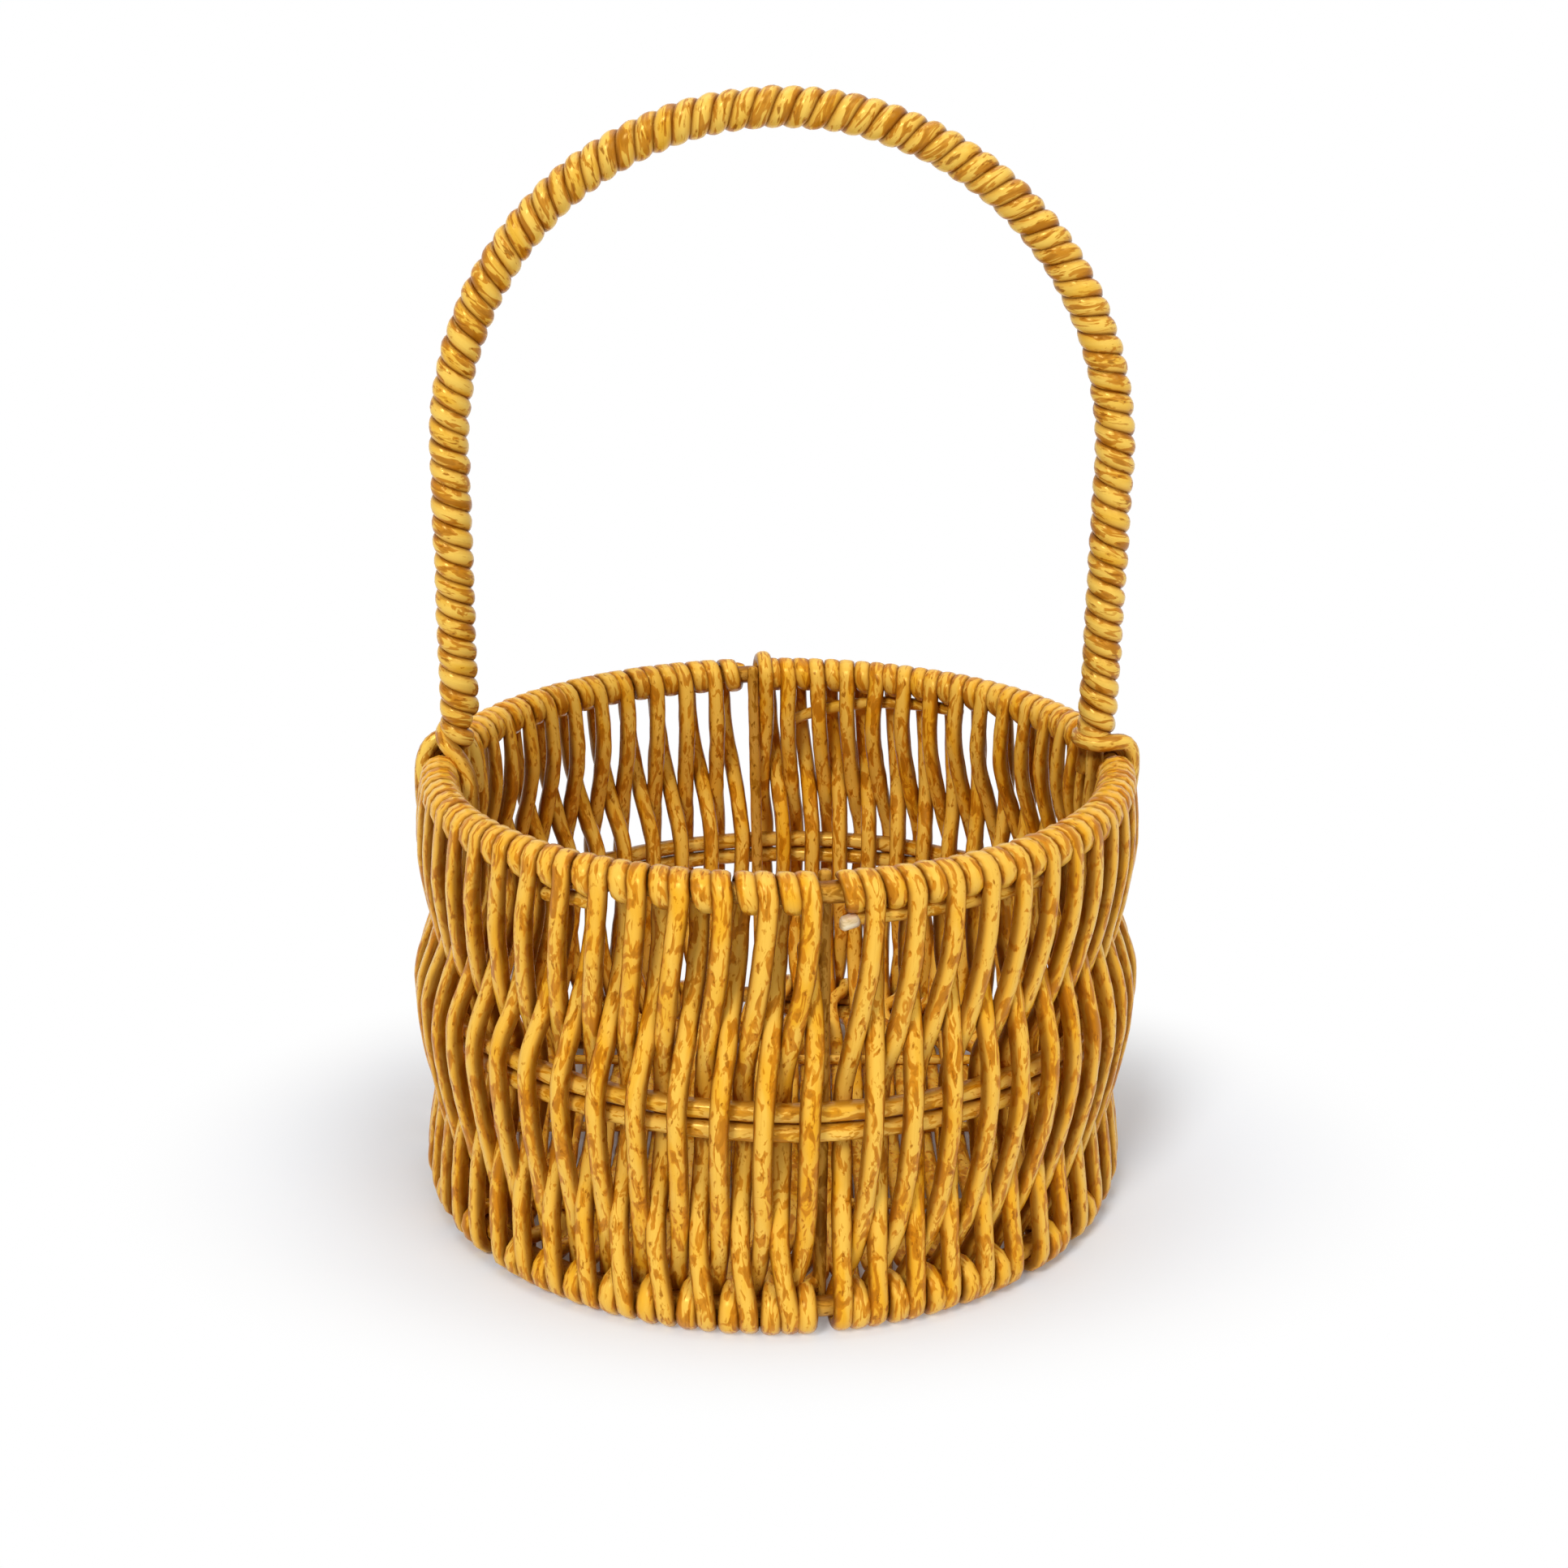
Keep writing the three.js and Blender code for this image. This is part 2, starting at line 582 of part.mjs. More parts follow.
// Loops in working order: front, back, front and so on from -X to +X
function floorLoops() {
  const front = spacedLoopAzimuths(true);
  const back = spacedLoopAzimuths(false);
  const loops = [];
  for (let i = 0; i < Math.min(front.length, back.length); i += 1) {
    loops.push({ azimuth: front[i], isFront: true });
    loops.push({ azimuth: back[i], isFront: false });
  }
  return loops;
}

// Floor cane: round the base hoop at each loop and over or under the ribs between
function floorGeometry(loops, firstIndex, share) {
  const chordPitch = (2 * FLOOR_CHORD_REACH) / (loops.length - 2);
  const stations = [];
  loops.slice(firstIndex, firstIndex + share).forEach((loop, i) => {
    const index = firstIndex + i;
    const side = loop.isFront ? 1 : -1;
    const azimuthAt = () => loop.azimuth;
    const section = [FLOOR_TURN_WIDTH, FLOOR_TURN_THICKNESS];
    const turn = hoopTurn(BASE_HOOP, azimuthAt, FLOOR_TURN_ANGLE, -FLOOR_TURN_ANGLE, ...section);
    const above = wallPoint(loop.azimuth, FLOOR_LOOP_REACH, FLOOR_HEIGHT + FLOOR_TURN_RISE);
    const below = wallPoint(loop.azimuth, FLOOR_LOOP_REACH, FLOOR_HEIGHT - FLOOR_TURN_DIP);
    stations.push(floorStation(above, FLOOR_TURN_WIDTH), ...turn);
    stations.push(floorStation(below, FLOOR_TURN_WIDTH));
    const next = loops[index + 1];
    if (next) {
      const from = wallPoint(loop.azimuth, FLOOR_LOOP_REACH, 0);
      const to = wallPoint(next.azimuth, FLOOR_LOOP_REACH, 0);
      const x = index * chordPitch - FLOOR_CHORD_REACH;
      stations.push(...floorChord(from, to, side, index, x));
      if (i === share - 1) {
        const height = stations.at(-1).point.z;
        stations.push(floorStation(new THREE.Vector3(x, side * FLOOR_CHORD_END, height)));
      }
    }
  });
  return sweptBar(stations, floorAcross);
}

// The stretch of floor cane between two loops, bent over or under each rib
function floorChord(from, to, side, index, x) {
  const ribs = Object.values(FLOOR_RIB_PLACES).sort((a, b) => side * (a - b));
  const stations = [];
  ribs.forEach((place) => {
    const share = (place - from.y) / (to.y - from.y);
    if (share > FLOOR_END_SHARE && share < 1 - FLOOR_END_SHARE) {
      const over = (index + Math.round(place / FLOOR_RIB_PLACES.floor_rib_back)) % 2 === 0 ? 1 : -1;
      stations.push(floorStation(new THREE.Vector3(x, place, FLOOR_HEIGHT + over * FLOOR_WEAVE)));
    }
  });
  return stations;
}

function floorStation(point, width = FLOOR_CANE_WIDTH) {
  return { point, width, thickness: FLOOR_CANE_THICKNESS };
}

// Width of the floor canes: along the hoop at the loops, and level between them
function floorAcross(point) {
  if (Math.hypot(point.x, point.y) > FLOOR_LEVEL_REACH) {
    return alongHoop(point).multiplyScalar(point.y < 0 ? 1 : -1);
  }
  return new THREE.Vector3(1, 0, 0);
}

// Cross rib of the floor, ending just inside the wall
function floorRibGeometry(place) {
  const reach = Math.sqrt(FLOOR_RIB_REACH ** 2 - place ** 2);
  const stations = [-reach, reach].map((x) => ({
    point: new THREE.Vector3(x, place, FLOOR_HEIGHT),
    width: FLOOR_RIB_SIZE,
    thickness: FLOOR_RIB_SIZE,
  }));
  return sweptBar(stations, () => new THREE.Vector3(0, 1, 0), ROUND_SIDES);
}

function namedMesh(name, geometry, meshMaterial) {
  const mesh = new THREE.Mesh(geometry, meshMaterial);
  mesh.name = name;
  return mesh;
}

// The four closed hoops
function hoopMeshes() {
  const meshes = [];
  for (const [name, hoop] of Object.entries({ rim_hoop: RIM_HOOP, base_hoop: BASE_HOOP })) {
    const geometry = hoopGeometry(hoop.radius, () => hoop.height, hoop.diameter, ROUND_SIDES);
    meshes.push(namedMesh(name, geometry, DARK_CANE));
  }
  for (const [name, height] of Object.entries(MID_CANE_HEIGHTS)) {
    const heightAt = (azimuth) => midCaneHeight(height, azimuth);
    const geometry = hoopGeometry(MID_CANE_RADIUS, heightAt, MID_CANE_DIAMETER, FLAT_SIDES);
    meshes.push(namedMesh(name, geometry, AMBER));
  }
  return meshes;
}

// Uprights, handle, lashings and tucked ends
function trimMeshes() {
  const meshes = [];
  for (const [name, azimuth] of Object.entries(UPRIGHT_AZIMUTHS)) {
    meshes.push(namedMesh(name, uprightGeometry(azimuth), DARK_CANE));
  }
  meshes.push(namedMesh('handle_core', handleCoreGeometry(), DARK_CANE));
  meshes.push(namedMesh('handle_binding', handleBindingGeometry(), GOLD));
  for (const [name, { leg, passes }] of Object.entries(LASHINGS)) {
    meshes.push(namedMesh(name, lashingGeometry(leg, passes), GOLD));
  }
  for (const [name, { from, to, fall }] of Object.entries(TAILS)) {
    meshes.push(namedMesh(name, tailGeometry(from, to, fall), AMBER));
  }
  return meshes;
}

// Floor canes in several lengths, and their ribs
function floorMeshes() {
  const loops = floorLoops();
  const share = Math.ceil(loops.length / FLOOR_NODES);
  const meshes = [];
  for (let i = 0; i < FLOOR_NODES; i += 1) {
    const geometry = floorGeometry(loops, i * share, share);
    meshes.push(namedMesh(`floor_cane_${i + 1}`, geometry, STRAW));
  }
  for (const [name, place] of Object.entries(FLOOR_RIB_PLACES)) {
    meshes.push(namedMesh(name, floorRibGeometry(place), AMBER));
  }
  return meshes;
}

const basket = new THREE.Group();
basket.add(...hoopMeshes());
basket.add(...wallMeshes());
basket.add(...trimMeshes());
basket.add(...floorMeshes());

export default basket;
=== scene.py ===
"""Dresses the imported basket: glossy mottled strand, a woven wall and a bound hoop handle."""

from __future__ import annotations

import logging
import math
import random
from collections.abc import Callable, Sequence
from dataclasses import dataclass, replace
from enum import Enum
from typing import Any

import bpy
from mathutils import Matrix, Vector, geometry, noise

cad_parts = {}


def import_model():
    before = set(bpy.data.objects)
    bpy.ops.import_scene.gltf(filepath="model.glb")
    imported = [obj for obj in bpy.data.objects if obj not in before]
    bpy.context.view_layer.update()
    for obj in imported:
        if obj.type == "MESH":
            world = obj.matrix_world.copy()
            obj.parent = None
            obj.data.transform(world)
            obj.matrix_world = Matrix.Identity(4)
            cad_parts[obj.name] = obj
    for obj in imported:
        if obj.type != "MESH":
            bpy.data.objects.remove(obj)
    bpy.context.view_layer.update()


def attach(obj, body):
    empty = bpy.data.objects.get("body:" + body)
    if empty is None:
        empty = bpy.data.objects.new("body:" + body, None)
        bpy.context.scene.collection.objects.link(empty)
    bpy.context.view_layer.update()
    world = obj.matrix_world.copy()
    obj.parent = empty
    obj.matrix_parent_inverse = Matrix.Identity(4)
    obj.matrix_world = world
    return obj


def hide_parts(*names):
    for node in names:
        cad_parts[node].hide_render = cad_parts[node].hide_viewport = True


LOG = logging.getLogger("basket")
MM = 0.001
BODY = "root"

Material = bpy.types.Material
Piece = bpy.types.Object
Pair = tuple[float, float]
Triple = tuple[float, float, float]
Colour = tuple[float, float, float, float]
Across = Callable[[Vector, Vector], Vector]
Course = Callable[[float], float]
Frame = tuple[Vector, Vector]


class Slot(Enum):
    """The record's material slots."""

    WALL = "wall_cane"
    BINDING = "binding_cane"
    WEAVER = "weaver_cane"
    HOOP = "hoop_cane"


class Signal:
    """A shader socket that takes part in ordinary arithmetic."""

    def __init__(self, sheet: "Sheet", socket: bpy.types.NodeSocket) -> None:
        """Keeps the socket and the sheet that it is drawn on."""
        self.sheet = sheet
        self.socket = socket

    def _sum(self, operation: str, first: Any, second: Any) -> "Signal":
        """Adds one Math node for two values."""
        return self.sheet.add("ShaderNodeMath", {"operation": operation}, {0: first, 1: second})

    def __add__(self, other: Any) -> "Signal":
        """self + other."""
        return self._sum("ADD", self, other)

    def __radd__(self, other: Any) -> "Signal":
        """other + self."""
        return self._sum("ADD", other, self)

    def __sub__(self, other: Any) -> "Signal":
        """self - other."""
        return self._sum("SUBTRACT", self, other)

    def __rsub__(self, other: Any) -> "Signal":
        """other - self."""
        return self._sum("SUBTRACT", other, self)

    def __mul__(self, other: Any) -> "Signal":
        """self * other."""
        return self._sum("MULTIPLY", self, other)

    def __rmul__(self, other: Any) -> "Signal":
        """other * self."""
        return self._sum("MULTIPLY", other, self)

    def largest(self, other: Any) -> "Signal":
        """The larger of two values."""
        return self._sum("MAXIMUM", self, other)


@dataclass(frozen=True)
class Texture:
    """Cloudy noise, with its cells counted to a metre along and across a strand."""

    cells: Triple
    detail: float = 2.0
    roughness: float = 0.5
    distortion: float = 0.0


@dataclass(frozen=True)
class Band:
    """A mask that rises from 0 to its share as a level goes from start to end."""

    start: float
    end: float
    share: float = 1.0


class Sheet:
    """The node tree of one material or world, drawn by adding nodes one at a time."""

    def __init__(self, owner: Material | bpy.types.World) -> None:
        """Empties the owner's tree to draw on it.

        Args:
            owner: The material or world.
        """
        self.owner = owner
        owner.use_nodes = True
        self.tree = owner.node_tree
        self.tree.nodes.clear()

    def _node(self, kind: str, settings: dict[str, Any], inputs: dict[Any, Any]) -> bpy.types.Node:
        """Makes any node of the tree.

        Args:
            kind: The node's type.
            settings: Attributes, set first.
            inputs: Values or signals, by the socket's name or number.

        Returns:
            The node.
        """
        node = self.tree.nodes.new(kind)
        for key, value in settings.items():
            setattr(node, key, value)
        for key, value in inputs.items():
            if isinstance(value, Signal):
                self.tree.links.new(value.socket, node.inputs[key])
            else:
                node.inputs[key].default_value = value
        return node

    def add(self, kind: str, settings: dict[str, Any], inputs: dict[Any, Any], output: Any = 0) -> Signal:
        """Adds a node and hands back the output of that name or number."""
        return Signal(self, self._node(kind, settings, inputs).outputs[output])

    def mix(self, factor: Any, first: Any, second: Any) -> Signal:
        """Blends two colours; a factor of 0 gives the first."""
        return self.add("ShaderNodeMix", {"data_type": "RGBA"}, {0: factor, 6: first, 7: second}, output=2)

    def stretch(self, vector: Signal, scale: Triple) -> Signal:
        """Scales a vector along its three directions."""
        return self.add("ShaderNodeVectorMath", {"operation": "MULTIPLY"}, {0: vector, 1: scale})

    def noise(self, place: Signal, texture: Texture) -> Signal:
        """Draws a texture.

        Args:
            place: The place along and across the strand.
            texture: The texture.

        Returns:
            Its noise there.
        """
        values = {
            "Vector": self.stretch(place, texture.cells), "Scale": 1.0, "Detail": texture.detail,
            "Roughness": texture.roughness, "Distortion": texture.distortion,
        }
        return self.add("ShaderNodeTexNoise", {}, values, output="Fac")

    def mask(self, level: Signal, band: Band) -> Signal:
        """The band's mask over a level."""
        values = {"Value": level, "From Min": band.start, "From Max": band.end, "To Max": band.share}
        return self.add("ShaderNodeMapRange", {"interpolation_type": "SMOOTHSTEP"}, values)

    def finish(self, shader: Signal) -> Any:
        """Joins the shader to the output.

        Args:
            shader: The finished shader.

        Returns:
            The material or world.
        """
        kind = "World" if isinstance(self.owner, bpy.types.World) else "Material"
        self._node(f"ShaderNodeOutput{kind}", {}, {"Surface": shader})
        return self.owner


WHITE: Colour = (1.0, 1.0, 1.0, 1.0)
MIDDLE = 0.5

# Noise over the strand
CLOUDS = Texture((60.0, 160.0, 160.0), distortion=0.5)
BLOTS = Texture((150.0, 400.0, 400.0), detail=2.5, roughness=0.62, distortion=0.8)
TICKS = Texture((380.0, 800.0, 800.0), distortion=0.3)
LINES = Texture((60.0, 2400.0, 2400.0))

# Masks over that noise; an edge and a heart are counted from the finish's blotch level
WARMER = Band(0.42, 0.72, 0.85)
STREAK = Band(0.52, 0.78, 0.20)
EDGE = Band(0.0, 0.035)
HEART = Band(0.06, 0.12, 0.40)
TICK = Band(0.60, 0.63, 0.50)
DARK_TICK = Band(0.67, 0.70, 0.70)

# Masks over the way from the strand's middle line to its side, both painted shade: darker towards each side,
# and darkest at the very side, where the strand meets its neighbours
SIDE_SHADE = Band(0.18, 0.95, 0.55)
GAP_SHADE = Band(0.62, 1.08)


@dataclass(frozen=True)
class StrandFinish:
    """Glossy strand with ragged blotches that run along it, fine streaks and dark ticks.

    The grain attribute gives a place along and across the straightened strand, in
    metres, so that every mark runs along the strand. The tone attribute makes some
    stretches warmer and more blotched. Shade is painted into the colour: darker
    towards the strand's two sides, and darkest at the very sides, where it lies
    against its neighbours.
    """

    name: str
    pale: Colour
    warm: Colour
    blotch: Colour
    fleck: Colour
    # Painted shade: the colour that the strand darkens to towards its sides
    side: Colour = (0.62, 0.23, 0.003, 1.0)
    # Painted shade: the dark colour at the very sides, in the gaps between strands
    painted_gap_shade: Colour = (0.14, 0.030, 0.001, 1.0)
    half_width: float = 0.0025
    blotch_level: float = 0.515
    blotch_share: float = 0.80
    # How strongly the painted shade at the very sides shows
    gap_shade_share: float = 0.80
    tone_in_warmth: float = 0.25
    tone_in_blotches: float = 0.08
    clouds_in_blotches: float = 0.12
    edge_in_ticks: float = 0.03
    gloss: float = 0.24
    edge_roughness: float = 0.06
    line_roughness: float = 0.10
    specular: float = 0.32
    sheen: Colour = (1.0, 0.74, 0.22, 1.0)
    line_relief: float = 0.25
    tick_relief: float = 0.35
    cloud_relief: float = 0.90
    bump_strength: float = 0.35
    bump_distance: float = 0.0004

    def material(self) -> Material:
        """Draws the finish.

        Returns:
            The material.
        """
        sheet = Sheet(bpy.data.materials.new(self.name))
        grain = sheet.add("ShaderNodeAttribute", {"attribute_name": "grain"}, {}, output="Vector")
        tone = sheet.add("ShaderNodeAttribute", {"attribute_name": "tone"}, {}, output="Fac") - MIDDLE
        textures = (CLOUDS, BLOTS, TICKS, LINES)
        clouds, blots, ticks, lines = (sheet.noise(grain, texture) for texture in textures)
        across = sheet.add("ShaderNodeSeparateXYZ", {}, {0: grain}, output="Y")
        aside = sheet.add("ShaderNodeMath", {"operation": "ABSOLUTE"}, {0: across}) * (1.0 / self.half_width)
        cloudy = (clouds - MIDDLE) * self.clouds_in_blotches
        level = blots + tone * self.tone_in_blotches + cloudy - self.blotch_level
        edge = sheet.mask(level, EDGE)

        body = sheet.mix(sheet.mask(clouds + tone * self.tone_in_warmth, WARMER), self.pale, self.warm)
        layers = (
            (sheet.mask(lines, STREAK), self.blotch),
            # Painted shade: darker towards the sides
            (sheet.mask(aside, SIDE_SHADE), self.side),
            (edge * self.blotch_share, self.blotch),
            (sheet.mask(level, HEART), self.fleck),
            (sheet.mask(ticks, TICK), self.blotch),
            (sheet.mask(ticks + edge * self.edge_in_ticks, DARK_TICK), self.fleck),
            # Painted shade: darkest at the very sides, in the gaps between strands
            (sheet.mask(aside, GAP_SHADE) * self.gap_shade_share, self.painted_gap_shade),
        )
        for share, colour in layers:
            body = sheet.mix(share, body, colour)

        height = lines * self.line_relief + ticks * self.tick_relief + clouds * self.cloud_relief
        relief = {"Strength": self.bump_strength, "Distance": self.bump_distance, "Height": height}
        values = {
            "Base Color": body,
            "Roughness": self.gloss + edge * self.edge_roughness + (lines - MIDDLE) * self.line_roughness,
            "Specular IOR Level": self.specular,
            "Specular Tint": self.sheen,
            "Normal": sheet.add("ShaderNodeBump", {}, relief),
        }
        return sheet.finish(sheet.add("ShaderNodeBsdfPrincipled", {}, values))


@dataclass(frozen=True)
class FloorFinish:
    """The pale floor: it keeps the basket's shadow and turns into the white backdrop far away. Close round
    the basket its colour is painted darker and cooler: painted shade, cool to offset the warm light thrown
    on it by the basket. A little farther out its glow rises: painted light that lifts the shadow there.
    """

    # Painted shade: the darker, cooler colour round the basket, cool to offset the warm light the basket
    # throws on the floor
    near: Colour = (0.80, 0.825, 0.86, 1.0)
    far: Colour = (0.87, 0.87, 0.87, 1.0)
    # The glow share near the basket; it rises to full glow over the fade band, painted light that lifts the
    # basket's shadow there, and beyond it the floor is the white backdrop
    glow: float = 0.04
    flatten: Triple = (1.0, 1.5, 1.0)
    reach: Band = Band(0.14, 0.22)
    fade: Band = Band(0.112, 0.20)

    def material(self) -> Material:
        """Draws the finish.

        Returns:
            The material.
        """
        sheet = Sheet(bpy.data.materials.new("pale_floor"))
        place = sheet.add("ShaderNodeTexCoord", {}, {}, output="Object")
        flat = sheet.stretch(place, self.flatten)
        distance = sheet.add("ShaderNodeVectorMath", {"operation": "LENGTH"}, {0: flat}, output="Value")
        # Painted shade round the basket, fading to the far colour over the reach
        colour = sheet.mix(sheet.mask(distance, self.reach), self.near, self.far)
        values = {"Base Color": colour, "Roughness": 1.0, "Specular IOR Level": 0.0}
        matte = sheet.add("ShaderNodeBsdfPrincipled", {}, values)
        light = sheet.add("ShaderNodeEmission", {}, {"Color": WHITE, "Strength": 1.0})
        # Painted light: the glow lifts the shadow as the distance rises over the fade band
        share = sheet.mask(distance, self.fade) * (1.0 - self.glow) + self.glow
        return sheet.finish(sheet.add("ShaderNodeMixShader", {}, {0: share, 1: matte, 2: light}))


@dataclass(frozen=True)
class Stance:
    """How the basket stands: a slight lean towards +X, up to where the handle arches."""

    start: float = -0.58
    lean_at_rim: float = 1.6
    rim_height: float = 119.6
    spring_height: float = 206.5

    def shift(self, height: float) -> float:
        """How far towards +X the middle of the basket lies at a height."""
        return self.start + self.lean_at_rim * min(height, self.spring_height) / self.rim_height

    def point(self, azimuth: float, radius: float, height: float) -> Vector:
        """A point from its azimuth in degrees, radius and height; azimuth 0 is the front."""
        angle = math.radians(azimuth)
        return Vector((radius * math.sin(angle) + self.shift(height), -radius * math.cos(angle), height))


STANCE = Stance()


@dataclass(frozen=True)
class Stop:
    """A place on a strand's middle line and the strand's section there, in millimetres."""

    point: Vector
    width: float
    thickness: float


def stop(azimuth: float, radius: float, height: float, width: float, thickness: float | None = None) -> Stop:
    """A stop from its azimuth, radius and height; one size gives a round strand."""
    return Stop(STANCE.point(azimuth, radius, height), width, width if thickness is None else thickness)


def along_hoop(point: Vector, tangent: Vector) -> Vector:
    """The level direction along the hoops at a point."""
    return Vector((-point.y, point.x, 0.0)).normalized()


def upwards(point: Vector, tangent: Vector) -> Vector:
    """The direction of +Z."""
    return Vector((0.0, 0.0, 1.0))


def backwards(point: Vector, tangent: Vector) -> Vector:
    """The direction of +Y."""
    return Vector((0.0, 1.0, 0.0))


def either_way(chance: random.Random, most: float) -> float:
    """Draws a number between -most and most."""
    return chance.uniform(-most, most)


@dataclass(frozen=True)
class Wave:
    """Smooth unevenness along a strand, read from one row and column of the noise."""

    amount: float
    period: float
    row: float = 0.0
    column: float = 0.0

    def at(self, along: float, aside: float = 0.0, up: float = 0.0, start: Vector = Vector()) -> float:
        """How much it adds at a place along the strand, read a little aside or up, from a start."""
        place = Vector((along / self.period, self.row + aside, self.column + up))
        return self.amount * noise.noise(start + place)


SWELL = Wave(0.035, 11.0)
SHADE = Wave(0.55, 45.0, row=9.0)
LUMPS = Wave(0.09, 5.0)
LUMP_CELLS = 1.7
SEED_STEPS: Triple = (7.31, 3.17, 5.71)
GRAIN_STEP = 37.0

# How far each rounding ring lies inside a cut end, and its size, as shares of the strand's
END_STEPS: tuple[Pair, ...] = ((0.0, 0.55), (0.10, 0.82), (0.28, 0.95))
END_CLEARANCE = 0.3
ROUND = 2.0
TINY = 1e-6


@dataclass
class Strand:
    """One strand, swept along its stops on a smooth curve."""

    name: str
    stops: list[Stop]
    across: Across | None
    seed: int
    spacing: float = 1.7
    sides: int = 14
    squareness: float = 2.3
    closed: bool = False
    tone: float = 0.5

    def _slopes(self) -> list[Vector]:
        """Works out the line's slopes, evened by the square roots of the stretches beside a stop.

        Returns:
            The slope at each stop.
        """
        points = [each.point for each in self.stops]
        if self.closed:
            points = [points[-2], *points, points[1]]
        else:
            points = [points[0] * 2 - points[1], *points, points[-1] * 2 - points[-2]]
        slopes = []
        for before, here, after in zip(points, points[1:], points[2:]):
            first = max((here - before).length, TINY) ** 0.5
            second = max((after - here).length, TINY) ** 0.5
            slope = (here - before) / first - (after - before) / (first + second) + (after - here) / second
            slopes.append(slope)
        return slopes

    def _line(self) -> list[Stop]:
        """Works out the smooth middle line.

        Returns:
            Stops close together.
        """
        slopes = self._slopes()
        line: list[Stop] = []
        for a, b, leaving, arriving in zip(self.stops, self.stops[1:], slopes, slopes[1:]):
            length = (b.point - a.point).length
            root = length ** 0.5
            steps = max(1, round(length / self.spacing))
            first, second = a.point + leaving * root / 3, b.point - arriving * root / 3
            places = geometry.interpolate_bezier(a.point, first, second, b.point, steps + 1)
            for i, place in enumerate(places if b is self.stops[-1] else places[:-1]):
                share = i / steps
                width = a.width + (b.width - a.width) * share
                thickness = a.thickness + (b.thickness - a.thickness) * share
                line.append(Stop(place, width, thickness))
        return line

    def _frames(self, line: list[Stop]) -> list[Frame]:
        """Works out which way the section lies.

        Args:
            line: The middle line.

        Returns:
            The directions of the width and the thickness at each place of the line.
        """
        frames = []
        wide: Vector | None = None
        last = len(line) - 1
        for i, here in enumerate(line):
            before, after = line[max(i - 1, 0)].point, line[min(i + 1, last)].point
            if self.closed and i in (0, last):
                before, after = line[-2].point, line[1].point
            tangent = (after - before).normalized()
            if self.across is not None:
                wide = self.across(here.point, tangent)
            elif wide is None:
                wide = tangent.orthogonal()
            wide = (wide - tangent * wide.dot(tangent)).normalized()
            frames.append((wide, tangent.cross(wide)))
        return frames

    def _corners(self) -> list[Pair]:
        """Works out the section's corners, as a rounded square.

        Returns:
            The corners of a section one unit across.
        """
        power = 2 / self.squareness
        corners = []
        for k in range(self.sides):
            angle = 2 * math.pi * k / self.sides
            x, y = math.cos(angle), math.sin(angle)
            x, y = (0.5 * math.copysign(abs(part) ** power, part) for part in (x, y))
            corners.append((x, y))
        return corners

    def build(self, material: Material) -> Piece:
        """Sweeps the strand.

        Args:
            material: The finish it takes.

        Returns:
            The new object, in metres.
        """
        line = self._line()
        frames = self._frames(line)
        shrink = [1.0] * len(line)
        if not self.closed:
            line, frames, shrink = self._with_ends(line, frames)
        corners = self._corners()
        start = Vector([self.seed * step for step in SEED_STEPS])
        points: list[Vector] = []
        grain: list[float] = []
        tones: list[float] = []
        travelled = 0.0
        for i, (here, (wide, thick)) in enumerate(zip(line, frames)):
            travelled += (here.point - line[i - 1].point).length if i else 0.0
            swell = 1.0 + SWELL.at(travelled, start=start)
            shade = self.tone + SHADE.at(travelled, start=start)
            for x, y in corners:
                size = (swell + LUMPS.at(travelled, LUMP_CELLS * x, LUMP_CELLS * y, start)) * shrink[i]
                across, up = x * here.width * size, y * here.thickness * size
                points.append((here.point + wide * across + thick * up) * MM)
                grain.extend(((travelled + self.seed * GRAIN_STEP) * MM, across * MM, up * MM))
                tones.append(shade)
        return self._mesh(points, grain, tones, material)

    def _with_ends(
        self, line: list[Stop], frames: list[Frame]
    ) -> tuple[list[Stop], list[Frame], list[float]]:
        """Rounds both cut ends with smaller rings just inside them.

        Args:
            line: The middle line.
            frames: The section's directions along it.

        Returns:
            The line with its new rings, the directions, and each ring's share of the section's size.
        """
        ends = []
        for end, beside in ((line[0], line[1]), (line[-1], line[-2])):
            inward = (beside.point - end.point).normalized() * min(end.width, end.thickness)
            ends.append([replace(end, point=end.point + inward * push) for push, _ in END_STEPS])
        head, tail = ends[0], ends[1][::-1]
        inner = [i for i in range(1, len(line) - 1) if self._clear(line[i], head[-1], tail[0])]
        sizes = [size for _, size in END_STEPS]
        count = len(sizes)
        turned = [frames[0]] * count + [frames[i] for i in inner] + [frames[-1]] * count
        return head + [line[i] for i in inner] + tail, turned, sizes + [1.0] * len(inner) + sizes[::-1]

    @staticmethod
    def _clear(each: Stop, head: Stop, tail: Stop) -> bool:
        """Whether a place lies clear of the rounded ends."""
        reach = END_CLEARANCE * each.thickness
        return (each.point - head.point).length > reach and (each.point - tail.point).length > reach

